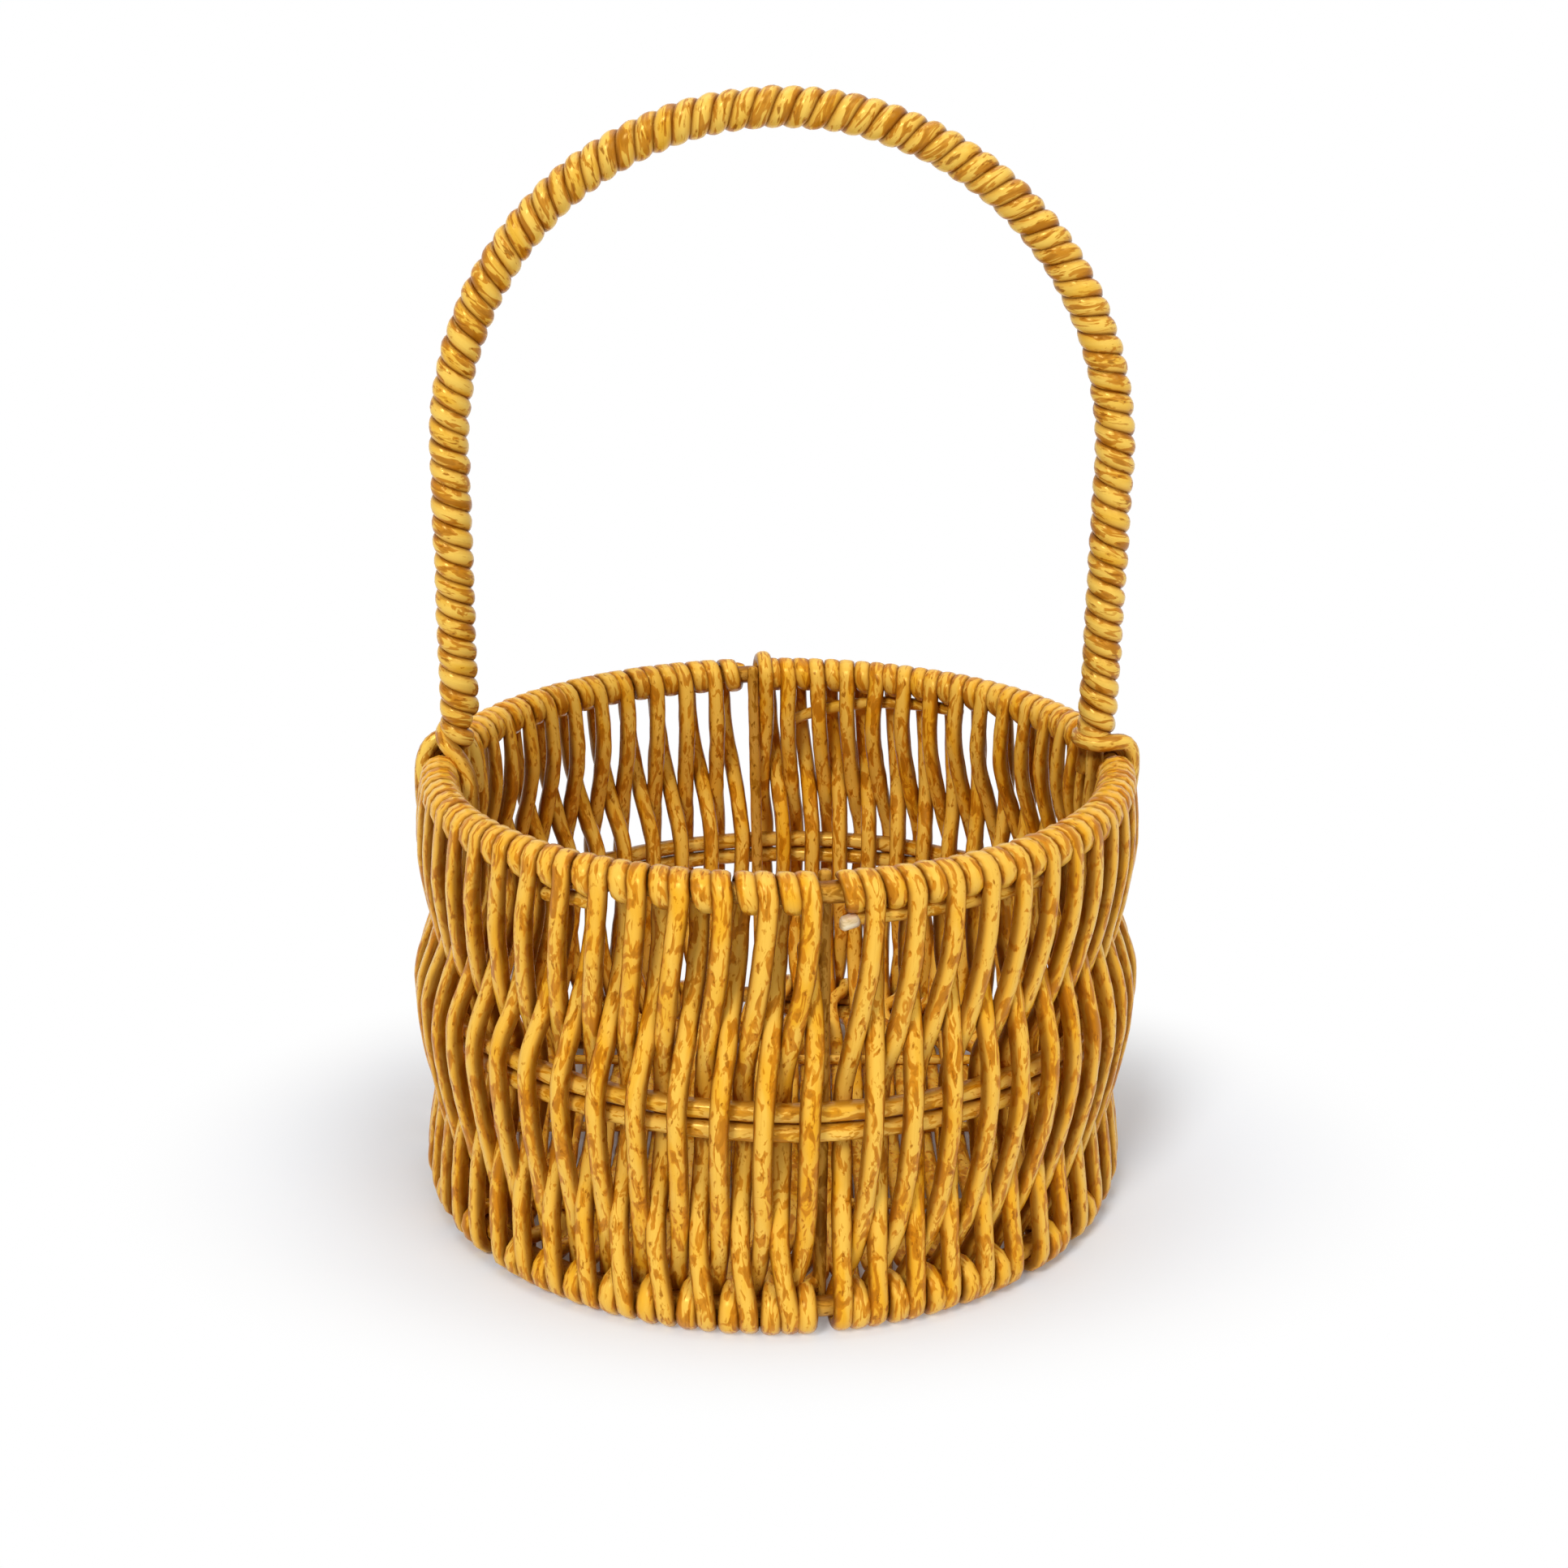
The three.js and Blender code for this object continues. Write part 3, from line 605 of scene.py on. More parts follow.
    def _mesh(
        self, points: list[Vector], grain: list[float], tones: list[float], material: Material
    ) -> Piece:
        """Joins the rings of points to a closed skin.

        Args:
            points: The points, ring by ring, in metres.
            grain: Three numbers to a point: its place along and across the straightened strand.
            tones: A number to a point that shades the strand.
            material: The finish it takes.

        Returns:
            The new object.
        """
        n = self.sides
        rings = len(points) // n
        faces: list[tuple[int, ...]] = []
        for i in range(rings - 1):
            for k in range(n):
                a, b = i * n + k, i * n + (k + 1) % n
                faces.append((a, b, b + n, a + n))
        if not self.closed:
            faces.append(tuple(range(n - 1, -1, -1)))
            faces.append(tuple(range((rings - 1) * n, rings * n)))
        mesh = bpy.data.meshes.new(self.name)
        mesh.from_pydata(points, [], faces)
        mesh.attributes.new("grain", "FLOAT_VECTOR", "POINT").data.foreach_set("vector", grain)
        mesh.attributes.new("tone", "FLOAT", "POINT").data.foreach_set("value", tones)
        mesh.polygons.foreach_set("use_smooth", [True] * len(faces))
        mesh.materials.append(material)
        mesh.update()
        piece = bpy.data.objects.new(self.name, mesh)
        bpy.context.scene.collection.objects.link(piece)
        return piece


def settle(piece: Piece, nodes: Sequence[str]) -> None:
    """Puts a piece in the place of its nodes and reports it.

    Args:
        piece: The finished object.
        nodes: The nodes that it stands for, or none.
    """
    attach(piece, BODY)
    if nodes:
        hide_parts(*nodes)
    replaced = ", ".join(nodes) or "nothing"
    LOG.info("%s: %d points, in place of %s", piece.name, len(piece.data.vertices), replaced)


def joined(name: str, pieces: Sequence[Piece]) -> Piece:
    """Joins several objects of one finish to one piece.

    Args:
        name: The joined piece's name.
        pieces: The objects; the first is kept.

    Returns:
        The joined object.
    """
    first = pieces[0]
    with bpy.context.temp_override(active_object=first, selected_editable_objects=list(pieces)):
        bpy.ops.object.join()
    first.name = name
    return first


RING_STOPS = 72
TURN_STEP = 30.0
WRAP_GAP = 0.1


@dataclass(frozen=True)
class Hoop:
    """A round hoop of the basket."""

    radius: float
    height: float
    diameter: float

    def turn(
        self, azimuth_at: Course, start: float, end: float, width: float, thickness: float
    ) -> list[Stop]:
        """Wraps a strand round the hoop: 0 is outside, 90 above, 180 inside.

        Args:
            azimuth_at: The azimuth at each angle of the turn.
            start: The angle where the turn starts.
            end: The angle where it ends.
            width: The strand's width.
            thickness: The strand's thickness.

        Returns:
            The stops.
        """
        reach = self.diameter / 2 + thickness / 2 + WRAP_GAP
        count = round(abs(end - start) / TURN_STEP)
        stops = []
        for i in range(count + 1):
            angle = start + (end - start) * i / count
            radius = self.radius + reach * math.cos(math.radians(angle))
            height = self.height + reach * math.sin(math.radians(angle))
            stops.append(stop(azimuth_at(angle), radius, height, width, thickness))
        return stops

    def ring(self, wander: Course = lambda azimuth: 0.0) -> list[Stop]:
        """Stops once round, each raised by its wander."""
        places = [360.0 * i / RING_STOPS for i in range(RING_STOPS + 1)]
        return [stop(place, self.radius, self.height + wander(place), self.diameter) for place in places]


RIM = Hoop(radius=93.2, height=STANCE.rim_height, diameter=5.4)
BASE = Hoop(radius=94.2, height=6.75, diameter=5.2)


@dataclass
class Hoops:
    """The rim and base hoops and the two weavers at mid height."""

    weaver_radius: float = 95.0
    weaver_diameter: float = 4.9
    weaver_heights: Pair = (62.6, 57.2)
    weaver_tone: float = 0.42
    wander: float = 1.0
    hoop_seed: int = 11
    weaver_seed: int = 21

    def build(self, rod: Material, cane: Material) -> None:
        """Makes the four rings.

        Args:
            rod: The finish of the hoops.
            cane: The finish of the weavers.
        """
        hoops = (("rim_hoop", RIM), ("base_hoop", BASE))
        for seed, (name, hoop) in enumerate(hoops, start=self.hoop_seed):
            ring = Strand(f"{name}_rod", hoop.ring(), upwards, seed, closed=True, squareness=ROUND)
            settle(ring.build(rod), (name,))
        weavers = zip(("upper", "lower"), self.weaver_heights)
        for seed, (name, height) in enumerate(weavers, start=self.weaver_seed):
            stops = Hoop(self.weaver_radius, height, self.weaver_diameter).ring(self._sway)
            ring = Strand(f"mid_{name}_weaver", stops, upwards, seed, closed=True, tone=self.weaver_tone)
            settle(ring.build(cane), (f"mid_cane_{name}",))

    def _sway(self, azimuth: float) -> float:
        """How far a weaver wanders up or down at an azimuth."""
        return -self.wander * math.sin(math.radians(2 * azimuth))


@dataclass(frozen=True)
class Drift:
    """Sideways drift of a strand from its rim turn at each height, in degrees."""

    bow: float
    waist: float
    middle: float
    lower_waist: float
    base: float = 0.0


@dataclass(frozen=True)
class Quarter:
    """A quarter of the wall, worked towards smaller azimuths.

    Its first strand is at an azimuth, and each length makes a number of pairs of a
    rising and a falling strand. The last turn round the rim ends at its own angle.
    """

    name: str
    first: float
    pitch: float
    lengths: tuple[int, ...]
    rising: Drift
    falling: Drift
    from_upright: bool
    hooked: bool = False
    last_angle: float = 480.0


EVEN = (Drift(-0.7, -2.5, -3.7, -3.75, -2.15), Drift(-4.6, -5.4, -6.2, -6.5))
SLANTING = (Drift(-0.6, -2.2, -3.1, -4.25, -4.3), Drift(-4.5, -5.1, -5.9, -6.95))
QUARTERS = (
    Quarter("front_left", 5.0, 6.23, (4, 4, 4, 3), *EVEN, from_upright=True),
    Quarter("back_left", 267.3, 6.35, (4, 3, 3, 3), *EVEN, from_upright=False, last_angle=400.0),
    Quarter("back_right", 182.4, 6.05, (4, 4, 4, 3), *EVEN, from_upright=True, hooked=True),
    Quarter("front_right", 86.6, 6.05, (4, 3, 3, 3), *SLANTING, from_upright=False),
)


@dataclass
class Wall:
    """The woven wall: strands that rise outside, turn round the rim and fall inside.

    A bow, a waist and a high start are places by their radius and height.
    """

    width: float = 5.1
    thickness: float = 4.3
    rim_width: float = 5.2
    rim_thickness: float = 2.6
    base_width: float = 5.3
    base_thickness: float = 3.9
    upper_bow: Pair = (97.9, 103.0)
    upper_waist: Pair = (94.7, 81.5)
    middle_height: float = 59.9
    middle_span: float = 7.0
    middle_offset: float = 4.7
    middle_radius: float = 95.0
    rising_waist: Pair = (96.6, 25.0)
    falling_waist: Pair = (94.6, 25.0)
    high_start: Pair = (90.3, 106.0)
    high_start_aside: float = -0.4
    hook_width: float = 4.8
    hook_thickness: float = 3.5
    hook_lift: float = 1.1
    hook_aside: Pair = (1.2, 0.2)
    hook_angle: float = -30.0
    join_angle: float = -150.0
    rim_angle: float = 540.0
    rim_drift: float = -1.45
    finishing_waist: float = 0.6
    finishing_base: float = 1.0
    uneven_lean: float = 0.28
    uneven_wrap: float = 0.12
    uneven_place: float = 0.15
    uneven_height: float = 1.3
    uneven_width: Pair = (0.97, 1.04)
    uneven_rim_width: Pair = (0.97, 1.03)
    uneven_rim_drift: Pair = (0.95, 1.05)
    seed: int = 100

    def _side(self, azimuth: float, drift: Drift, is_rising: bool, chance: random.Random) -> list[Stop]:
        """Goes from hoop to hoop: up outside or down inside, and past the weavers on their other side.

        Args:
            azimuth: Where the strand meets the rim.
            drift: How far it drifts aside on its way.
            is_rising: Whether it goes up.
            chance: Where its unevenness is drawn from.

        Returns:
            The stops.
        """
        bow, bow_height = self.upper_bow
        middle = self.middle_radius + (-self.middle_offset if is_rising else self.middle_offset)
        rows = [
            (drift.lower_waist, *(self.rising_waist if is_rising else self.falling_waist)),
            (drift.middle, middle, self.middle_height - self.middle_span),
            (drift.middle, middle, self.middle_height + self.middle_span),
            (drift.waist, *self.upper_waist),
            (drift.bow, bow if is_rising else 2 * RIM.radius - bow, bow_height),
        ]
        lean = either_way(chance, self.uneven_lean)
        stops = []
        for aside, radius, height in rows if is_rising else reversed(rows):
            place = azimuth + aside + lean + either_way(chance, self.uneven_place)
            lifted = height + either_way(chance, self.uneven_height)
            width = self.width * chance.uniform(*self.uneven_width)
            radius += either_way(chance, self.uneven_place)
            stops.append(stop(place, radius, lifted, width, self.thickness))
        return stops

    def _over(self, azimuth: float, end: float, chance: random.Random) -> list[Stop]:
        """Goes one and a half times round the rim hoop, drifting sideways.

        Args:
            azimuth: Where the strand meets the rim.
            end: The angle where the turn ends.
            chance: Where its unevenness is drawn from.

        Returns:
            The stops.
        """
        start = azimuth + either_way(chance, self.uneven_wrap)
        drift = self.rim_drift * chance.uniform(*self.uneven_rim_drift)
        width = self.rim_width * chance.uniform(*self.uneven_rim_width)
        return RIM.turn(lambda angle: start + drift * angle / 180, 0.0, end, width, self.rim_thickness)

    def _under(self, azimuth: float, end: float) -> list[Stop]:
        """Goes under the base hoop, from inside to an angle."""
        return BASE.turn(lambda angle: azimuth, -180.0, end, self.base_width, self.base_thickness)

    def _high_start(self, azimuth: float, hooked: bool) -> list[Stop]:
        """Starts a length beside an upright.

        Args:
            azimuth: The length's first rising strand.
            hooked: Whether it hooks over the rim's wraps, or starts just under the rim.

        Returns:
            The stops.
        """
        if not hooked:
            return [stop(azimuth + self.high_start_aside, *self.high_start, self.width, self.thickness)]
        outside, inside = self.hook_aside
        over = replace(RIM, diameter=RIM.diameter + 2 * self.hook_lift)
        turn = over.turn(
            lambda angle: azimuth + outside + (inside - outside) * angle / 180, self.hook_angle, 180.0,
            self.hook_width, self.hook_thickness,
        )
        return [*turn, stop(azimuth + inside / 2, *self.high_start, self.width, self.thickness)]

    def length(
        self, quarter: Quarter, azimuth: float, pairs: int, high: bool, at_rim: bool, seed: int
    ) -> list[Stop]:
        """Lays one length of strand.

        Args:
            quarter: The quarter it belongs to.
            azimuth: Its first rising strand.
            pairs: How many pairs it makes.
            high: Whether it starts at the top of a falling strand.
            at_rim: Whether it ends at the rim.
            seed: The number that its unevenness comes from.

        Returns:
            The stops.
        """
        chance = random.Random(seed)
        stops: list[Stop] = []
        if high:
            stops += self._high_start(azimuth, quarter.hooked)
            stops += self._side(azimuth + quarter.pitch, quarter.falling, False, chance)[1:]
        for k in range(pairs):
            here = azimuth - k * quarter.pitch
            rising = quarter.rising
            finishing = at_rim and k == pairs - 1
            if finishing:
                waist, base = rising.lower_waist + self.finishing_waist, rising.base + self.finishing_base
                rising = replace(rising, lower_waist=waist, base=base)
            stops += self._under(here + rising.base + either_way(chance, self.uneven_wrap), 0.0)
            stops += self._side(here, rising, True, chance)
            stops += self._over(here, quarter.last_angle if finishing else self.rim_angle, chance)
            if not finishing:
                stops += self._side(here, quarter.falling, False, chance)
        if not at_rim:
            stops += self._under(azimuth - pairs * quarter.pitch + quarter.rising.base, self.join_angle)
        return stops

    def build(self, material: Material) -> None:
        """Makes all sixteen lengths.

        Args:
            material: Their finish.
        """
        seed = self.seed
        for quarter in QUARTERS:
            azimuth = quarter.first
            last = len(quarter.lengths) - 1
            for index, pairs in enumerate(quarter.lengths):
                seed += 1
                high = quarter.from_upright and index == 0
                at_rim = not quarter.from_upright and index == last
                stops = self.length(quarter, azimuth, pairs, high, at_rim, seed)
                strand = Strand(f"{quarter.name}_strand_{index + 1}", stops, along_hoop, seed)
                settle(strand.build(material), (f"wall_{quarter.name}_{index + 1}",))
                azimuth -= pairs * quarter.pitch


@dataclass
class Uprights:
    """The two rods where the quarters of the wall meet.

    Each stands inside the rim hoop, and its foot and top have their own azimuths.
    """

    diameter: float = 3.5
    offset: float = 4.7
    top: float = 123.5
    foot: float = 3.2
    front: Pair = (7.95, 7.4)
    back: Pair = (183.0, 185.4)
    shares: tuple[float, ...] = (0.0, 0.33, 0.67, 1.0)
    tone: float = 0.55
    seed: int = 31

    def build(self, rod: Material) -> None:
        """Makes both rods.

        Args:
            rod: Their finish.
        """
        radius = RIM.radius - self.offset
        rise = self.top - self.foot
        rods = (("front", self.front), ("back", self.back))
        for seed, (name, (low, high)) in enumerate(rods, start=self.seed):
            stops = [
                stop(low + (high - low) * share, radius, self.foot + rise * share, self.diameter)
                for share in self.shares
            ]
            strand = Strand(f"{name}_upright_rod", stops, along_hoop, seed, squareness=ROUND, tone=self.tone)
            settle(strand.build(rod), (f"{name}_upright",))


Route = tuple[Triple, ...]

# Routes of the ties at the handle's legs, each stop an azimuth, a radius and a height
LEFT_TUCK: Route = (
    (-92.6, 90.8, 132.6), (-90.6, 92.6, 130.0), (-87.6, 91.4, 127.4), (-86.6, 88.4, 124.2),
    (-86.0, 85.6, 118.8), (-85.2, 85.0, 111.0), (-84.6, 85.2, 103.0), (-84.2, 86.0, 96.0),
)
LEFT_LOOP: Route = (
    (-94.2, 85.6, 110.0), (-94.0, 85.2, 117.5), (-93.6, 87.4, 125.2), (-92.4, 92.0, 127.9),
    (-91.4, 96.6, 125.8), (-90.8, 98.9, 120.5), (-90.5, 99.2, 113.0), (-90.3, 98.6, 104.0),
    (-90.3, 97.6, 95.0),
)
RIGHT_LOOP: Route = (
    (93.8, 85.8, 116.0), (93.4, 86.2, 123.6), (92.4, 84.2, 127.8), (90.0, 83.2, 128.4),
    (87.8, 84.7, 128.0), (86.9, 88.0, 127.8), (87.4, 92.3, 128.2), (88.6, 96.0, 127.2),
    (89.8, 98.1, 122.8), (90.2, 98.2, 114.0), (90.3, 97.8, 105.0), (90.3, 97.0, 95.0),
)


@dataclass
class Handle:
    """The tall hoop handle, its binding and the ties at its legs."""

    core: float = 4.8
    offset: float = 88.0
    spring: float = STANCE.spring_height
    foot: float = 34.0
    leg_stops: int = 8
    arch_stops: int = 36
    binding_start: float = 132.5
    binding_strands: int = 2
    binding_width: float = 5.25
    binding_thickness: float = 4.0
    binding_pitch: float = 10.24
    binding_reach: float = 3.4
    binding_tone: float = 0.45
    top_narrowing: float = 0.22
    stops_per_turn: int = 12
    start_stops: int = 5
    end_stops: int = 12
    uneven_pitch: Wave = Wave(0.40, 1.5, row=4.0)
    uneven_reach: Wave = Wave(0.30, 0.7, row=8.0)
    uneven_width: Wave = Wave(0.06, 0.9, column=5.0)
    strand_step: float = 5.0
    tie: float = 4.6
    tie_squareness: float = 2.1
    ties: tuple[tuple[str, tuple[Route, ...]], ...] = (
        ("left", (LEFT_TUCK, LEFT_LOOP)),
        ("right", (RIGHT_LOOP,)),
    )
    core_seed: int = 41
    binding_seed: int = 42
    tie_seed: int = 51
    seed_step: int = 3

    def place(self, along: float) -> tuple[Vector, Vector]:
        """Finds a point of the middle line and the outward direction there.

        Args:
            along: The length from the left shoulder of the arch.

        Returns:
            The point and the direction.
        """
        arch = math.pi * self.offset
        angle = math.pi - min(max(along, 0.0), arch) / self.offset
        outward = Vector((math.cos(angle), 0.0, math.sin(angle)))
        below = -along if along < 0 else max(along - arch, 0.0)
        height = self.spring + self.offset * math.sin(angle) - below
        return Vector((self.offset * math.cos(angle) + STANCE.shift(height), 0.0, height)), outward

    def _way(self, point: Vector, tangent: Vector) -> Vector:
        """Finds the direction along the handle.

        Args:
            point: A place near the handle.
            tangent: The wound strand's own direction, which doesn't matter.

        Returns:
            The direction.
        """
        if point.z > self.spring:
            outward = Vector((point.x - STANCE.shift(point.z), 0.0, point.z - self.spring)).normalized()
            return Vector((outward.z, 0.0, -outward.x))
        return Vector((0.0, 0.0, 1.0 if point.x < 0 else -1.0))

    def _core(self) -> Strand:
        """Lays the hoop inside the binding, with its two legs.

        Returns:
            The strand.
        """
        arch = math.pi * self.offset
        leg = self.spring - self.foot
        places = [leg * i / self.leg_stops - leg for i in range(self.leg_stops)]
        places += [arch * i / self.arch_stops for i in range(self.arch_stops + 1)]
        places += [arch + leg * (i + 1) / self.leg_stops for i in range(self.leg_stops)]
        stops = [Stop(self.place(along)[0], self.core, self.core) for along in places]
        return Strand("handle_rod", stops, backwards, self.core_seed, squareness=ROUND)

    def _binding(self, index: int) -> Strand:
        """Lays one of the strands that are wound round the handle side by side.

        Args:
            index: Which of the strands.

        Returns:
            The strand.
        """
        start = self.binding_start - self.spring + index * self.binding_pitch / self.binding_strands
        turns = int((math.pi * self.offset - 2 * start) // self.binding_pitch)
        beside = index * self.strand_step
        stops = []
        for i in range(-self.start_stops, turns * self.stops_per_turn + self.end_stops + 1):
            turn = i / self.stops_per_turn
            phase = 2 * math.pi * turn
            point, outward = self.place(start + turn * self.binding_pitch + self.uneven_pitch.at(turn))
            reach = self.binding_reach + self.uneven_reach.at(turn, up=beside)
            reach -= self.top_narrowing * max(outward.z, 0.0)
            point = point + outward * (reach * math.cos(phase)) + Vector((0.0, reach * math.sin(phase), 0.0))
            width = self.binding_width * (1.0 + self.uneven_width.at(turn, aside=beside))
            stops.append(Stop(point, width, self.binding_thickness))
        return Strand(
            f"handle_wrap_{index}", stops, self._way, self.binding_seed + self.seed_step * index,
            spacing=1.1, sides=18, squareness=ROUND, tone=self.binding_tone,
        )

    def build(self, wrap: Material) -> None:
        """Makes the hoop, its binding and the ties.

        Args:
            wrap: Their finish.
        """
        settle(self._core().build(wrap), ("handle_core",))
        strands = [self._binding(index).build(wrap) for index in range(self.binding_strands)]
        settle(joined("handle_wrap", strands), ("handle_binding",))
        for side, routes in self.ties:
            pieces = []
            for i, route in enumerate(routes):
                stops = [stop(*row, self.tie) for row in route]
                seed = self.tie_seed + self.seed_step * i + len(routes)
                tie = Strand(f"{side}_tie_{i}", stops, None, seed, squareness=self.tie_squareness)
                pieces.append(tie.build(wrap))
            piece = joined(f"{side}_tie", pieces) if len(pieces) > 1 else pieces[0]
            settle(piece, (f"{side}_lashing",))


@dataclass(frozen=True)
class Tail:
    """A loose end tucked along under the rim, from one azimuth to another."""

    name: str
    start: float
    end: float
    fall: float


@dataclass
class Tails:
    """The loose ends under the rim, and the splayed, pale end of the one beside the front upright.

    Each stop of the pale end is an azimuth, a radius, a height and a diameter.
    """

    diameter: float = 3.8
    radius: float = 93.4
    height: float = 112.8
    step: float = 5.0
    tone: float = 0.55
    seed: int = 61
    cut_seed: int = 66
    tails: tuple[Tail, ...] = (
        Tail("front_right", 11.3, 46.0, 0.0),
        Tail("front_left", -28.0, -38.0, 1.0),
        Tail("back", 142.0, 178.0, 9.0),
    )
    cut: tuple[tuple[float, float, float, float], ...] = (
        (9.1, 95.2, 112.3, 4.0), (9.8, 95.2, 112.2, 5.0), (10.8, 94.8, 112.3, 5.2), (11.8, 94.0, 112.7, 3.8),
    )

    def build(self, cane: Material, raw: Material) -> None:
        """Makes each loose end.

        Args:
            cane: The finish of the loose ends.
            raw: The finish of the pale end.
        """
        cut = Strand("front_right_cut", [stop(*row) for row in self.cut], upwards, self.cut_seed)
        settle(cut.build(raw), ())
        for seed, tail in enumerate(self.tails, start=self.seed):
            steps = math.ceil(abs(tail.end - tail.start) / self.step)
            stops = []
            for i in range(steps + 1):
                share = i / steps
                azimuth = tail.start + (tail.end - tail.start) * share
                stops.append(stop(azimuth, self.radius, self.height - tail.fall * share ** 3, self.diameter))
            strand = Strand(f"{tail.name}_end", stops, upwards, seed, tone=self.tone)
            settle(strand.build(cane), (f"{tail.name}_tail",))


@dataclass
class Floor:
    """The floor: strands looped round the base hoop and woven over three ribs.

    A loop is a broad drop round the hoop between two narrow necks. A run joins two
    loops straight over and under the ribs. A loose end has an azimuth, how far its
    upper half turns aside, and the number of the strand that it is joined to.
    """

    width: float = 4.9
    thickness: float = 3.2
    drop_width: float = 5.7
    neck_width: float = 4.1
    drop_thickness: float = 4.0
    narrowing: float = 2.2
    rise: float = 2.6
    dip: float = 3.4
    turn_angle: float = 120.0
    spacing: float = 6.9
    reach: float = 84.0
    level_reach: float = 82.0
    limit: float = 70.0
    even_shift: float = 0.2
    slanting_shift: float = 0.5
    gap_limit: float = 6.6
    chord_reach: float = 78.5
    run_out: float = 64.0
    run_circle: float = 78.0
    run_gap: float = 3.0
    run_least: float = 52.0
    loose_ends: tuple[tuple[float, float, int], ...] = ((5.25, 2.0, 2), (182.9, 0.5, 1))
    loose_turn: float = 5.0
    loose_reach: float = 66.0
    fan: float = 2.1
    ribs: tuple[tuple[str, float], ...] = (("front", -44.0), ("middle", 0.0), ("back", 44.0))
    rib_spacing: float = 44.0
    rib_size: float = 3.0
    rib_reach: float = 80.0
    end_share: float = 0.07
    height: float = 7.2
    weave: float = 3.2
    strands: int = 4
    strand_seed: int = 71
    rib_seed: int = 81
    loose_seed: int = 91

    @staticmethod
    def _turns() -> list[float]:
        """Counts the wall's turns under the base hoop.

        Returns:
            Their azimuths, from -90 to 270.
        """
        turns = [
            quarter.first - k * quarter.pitch + quarter.rising.base
            for quarter in QUARTERS for k in range(sum(quarter.lengths))
        ]
        return sorted((turn + 90.0) % 360.0 - 90.0 for turn in turns)

    def _places(self, is_front: bool) -> list[float]:
        """Chooses the loops on one side, between the wall's turns and far enough apart.

        Args:
            is_front: Whether it is the front.

        Returns:
            Their azimuths, from -X to +X.
        """
        turns = self._turns()
        places = []
        for before, after in zip(turns, turns[1:]):
            halfway = (before + after) / 2
            middle = halfway + (self.slanting_shift if 0 < halfway < 90 else self.even_shift)
            facing = abs(middle) if is_front else abs(middle - 180)
            if after - before < self.gap_limit and facing < self.limit:
                places.append(middle)
        chosen: list[float] = []
        for place in sorted(places, key=self._x):
            if not chosen or self._x(place) - self._x(chosen[-1]) > self.spacing:
                chosen.append(place)
        return chosen

    def _x(self, azimuth: float) -> float:
        """How far towards +X a loop lies."""
        return self.reach * math.sin(math.radians(azimuth))

    def _way(self, point: Vector, tangent: Vector) -> Vector:
        """Finds the direction of the width: along the hoop at the loops and level between them.

        Args:
            point: A place of the strand.
            tangent: The strand's own direction, which doesn't matter.

        Returns:
            The direction.
        """
        if math.hypot(point.x, point.y) > self.level_reach:
            return along_hoop(point, tangent) * (1.0 if point.y < 0 else -1.0)
        return Vector((1.0, 0.0, 0.0))

    def _at(self, x: float, y: float, height: float) -> Stop:
        """A stop of a run."""
        return Stop(Vector((x, y, height)), self.width, self.thickness)

    def _chord(self, start: float, end: float, side: int, index: int, x: float) -> list[Stop]:
        """Goes over and under the ribs between two loops.

        Args:
            start: The y of the loop where it starts.
            end: The y of the loop where it ends.
            side: 1 when it starts in front, -1 when it starts behind.
            index: The number of its first loop.
            x: How far towards +X it lies.

        Returns:
            The stops.
        """
        stops = []
        for _, place in sorted(self.ribs, key=lambda rib: side * rib[1]):
            share = (place - start) / (end - start)
            if self.end_share < share < 1 - self.end_share:
                over = 1 if (index + round(place / self.rib_spacing)) % 2 == 0 else -1
                stops.append(self._at(x, place, self.height + over * self.weave))
        run = min(self.run_out, math.sqrt(max(self.run_circle ** 2 - x ** 2, 0.0)) - self.run_gap)
        if run > self.run_least:
            stops.insert(0, self._at(x, -side * run, stops[0].point.z))
            stops.append(self._at(x, side * run, stops[-1].point.z))
        return stops

    def _loose_end(self, azimuth: float, aside: float) -> list[Stop]:
        """Folds a short end over the base hoop beside an upright.

        Args:
            azimuth: Where it goes round the hoop.
            aside: How far its upper half turns aside, in degrees.

        Returns:
            The stops.
        """
        reach, size = self.loose_reach, (self.width, self.thickness)
        end = stop(azimuth, reach, self.height - self.dip, *size)
        start = stop(azimuth + self.loose_turn, reach, self.height + self.rise, *size)
        above = self._neck(azimuth + aside, self.rise, 1)
        below = self._neck(azimuth, -self.dip, -1)
        return [start, above, *self._drop(azimuth), below, end]

    def _neck(self, azimuth: float, lift: float, way: int) -> Stop:
        """Where a strand comes to its loop or leaves it, a little to one side."""
        aside = math.degrees(self.fan / self.reach) * way
        return stop(azimuth + aside, self.reach, self.height + lift, self.neck_width, self.thickness)

    def _drop(self, azimuth: float) -> list[Stop]:
        """Lays a loop round the base hoop, narrow above and broad below like a drop.

        Args:
            azimuth: Where it goes round the hoop.

        Returns:
            The stops.
        """
        angle = self.turn_angle
        turn = BASE.turn(lambda _: azimuth, angle, -angle, self.drop_width, self.drop_thickness)
        stops = []
        for i, each in enumerate(turn):
            neck = max(1.0 - i / (len(turn) - 1) * self.narrowing, 0.0)
            stops.append(replace(each, width=self.drop_width + (self.neck_width - self.drop_width) * neck))
        return stops

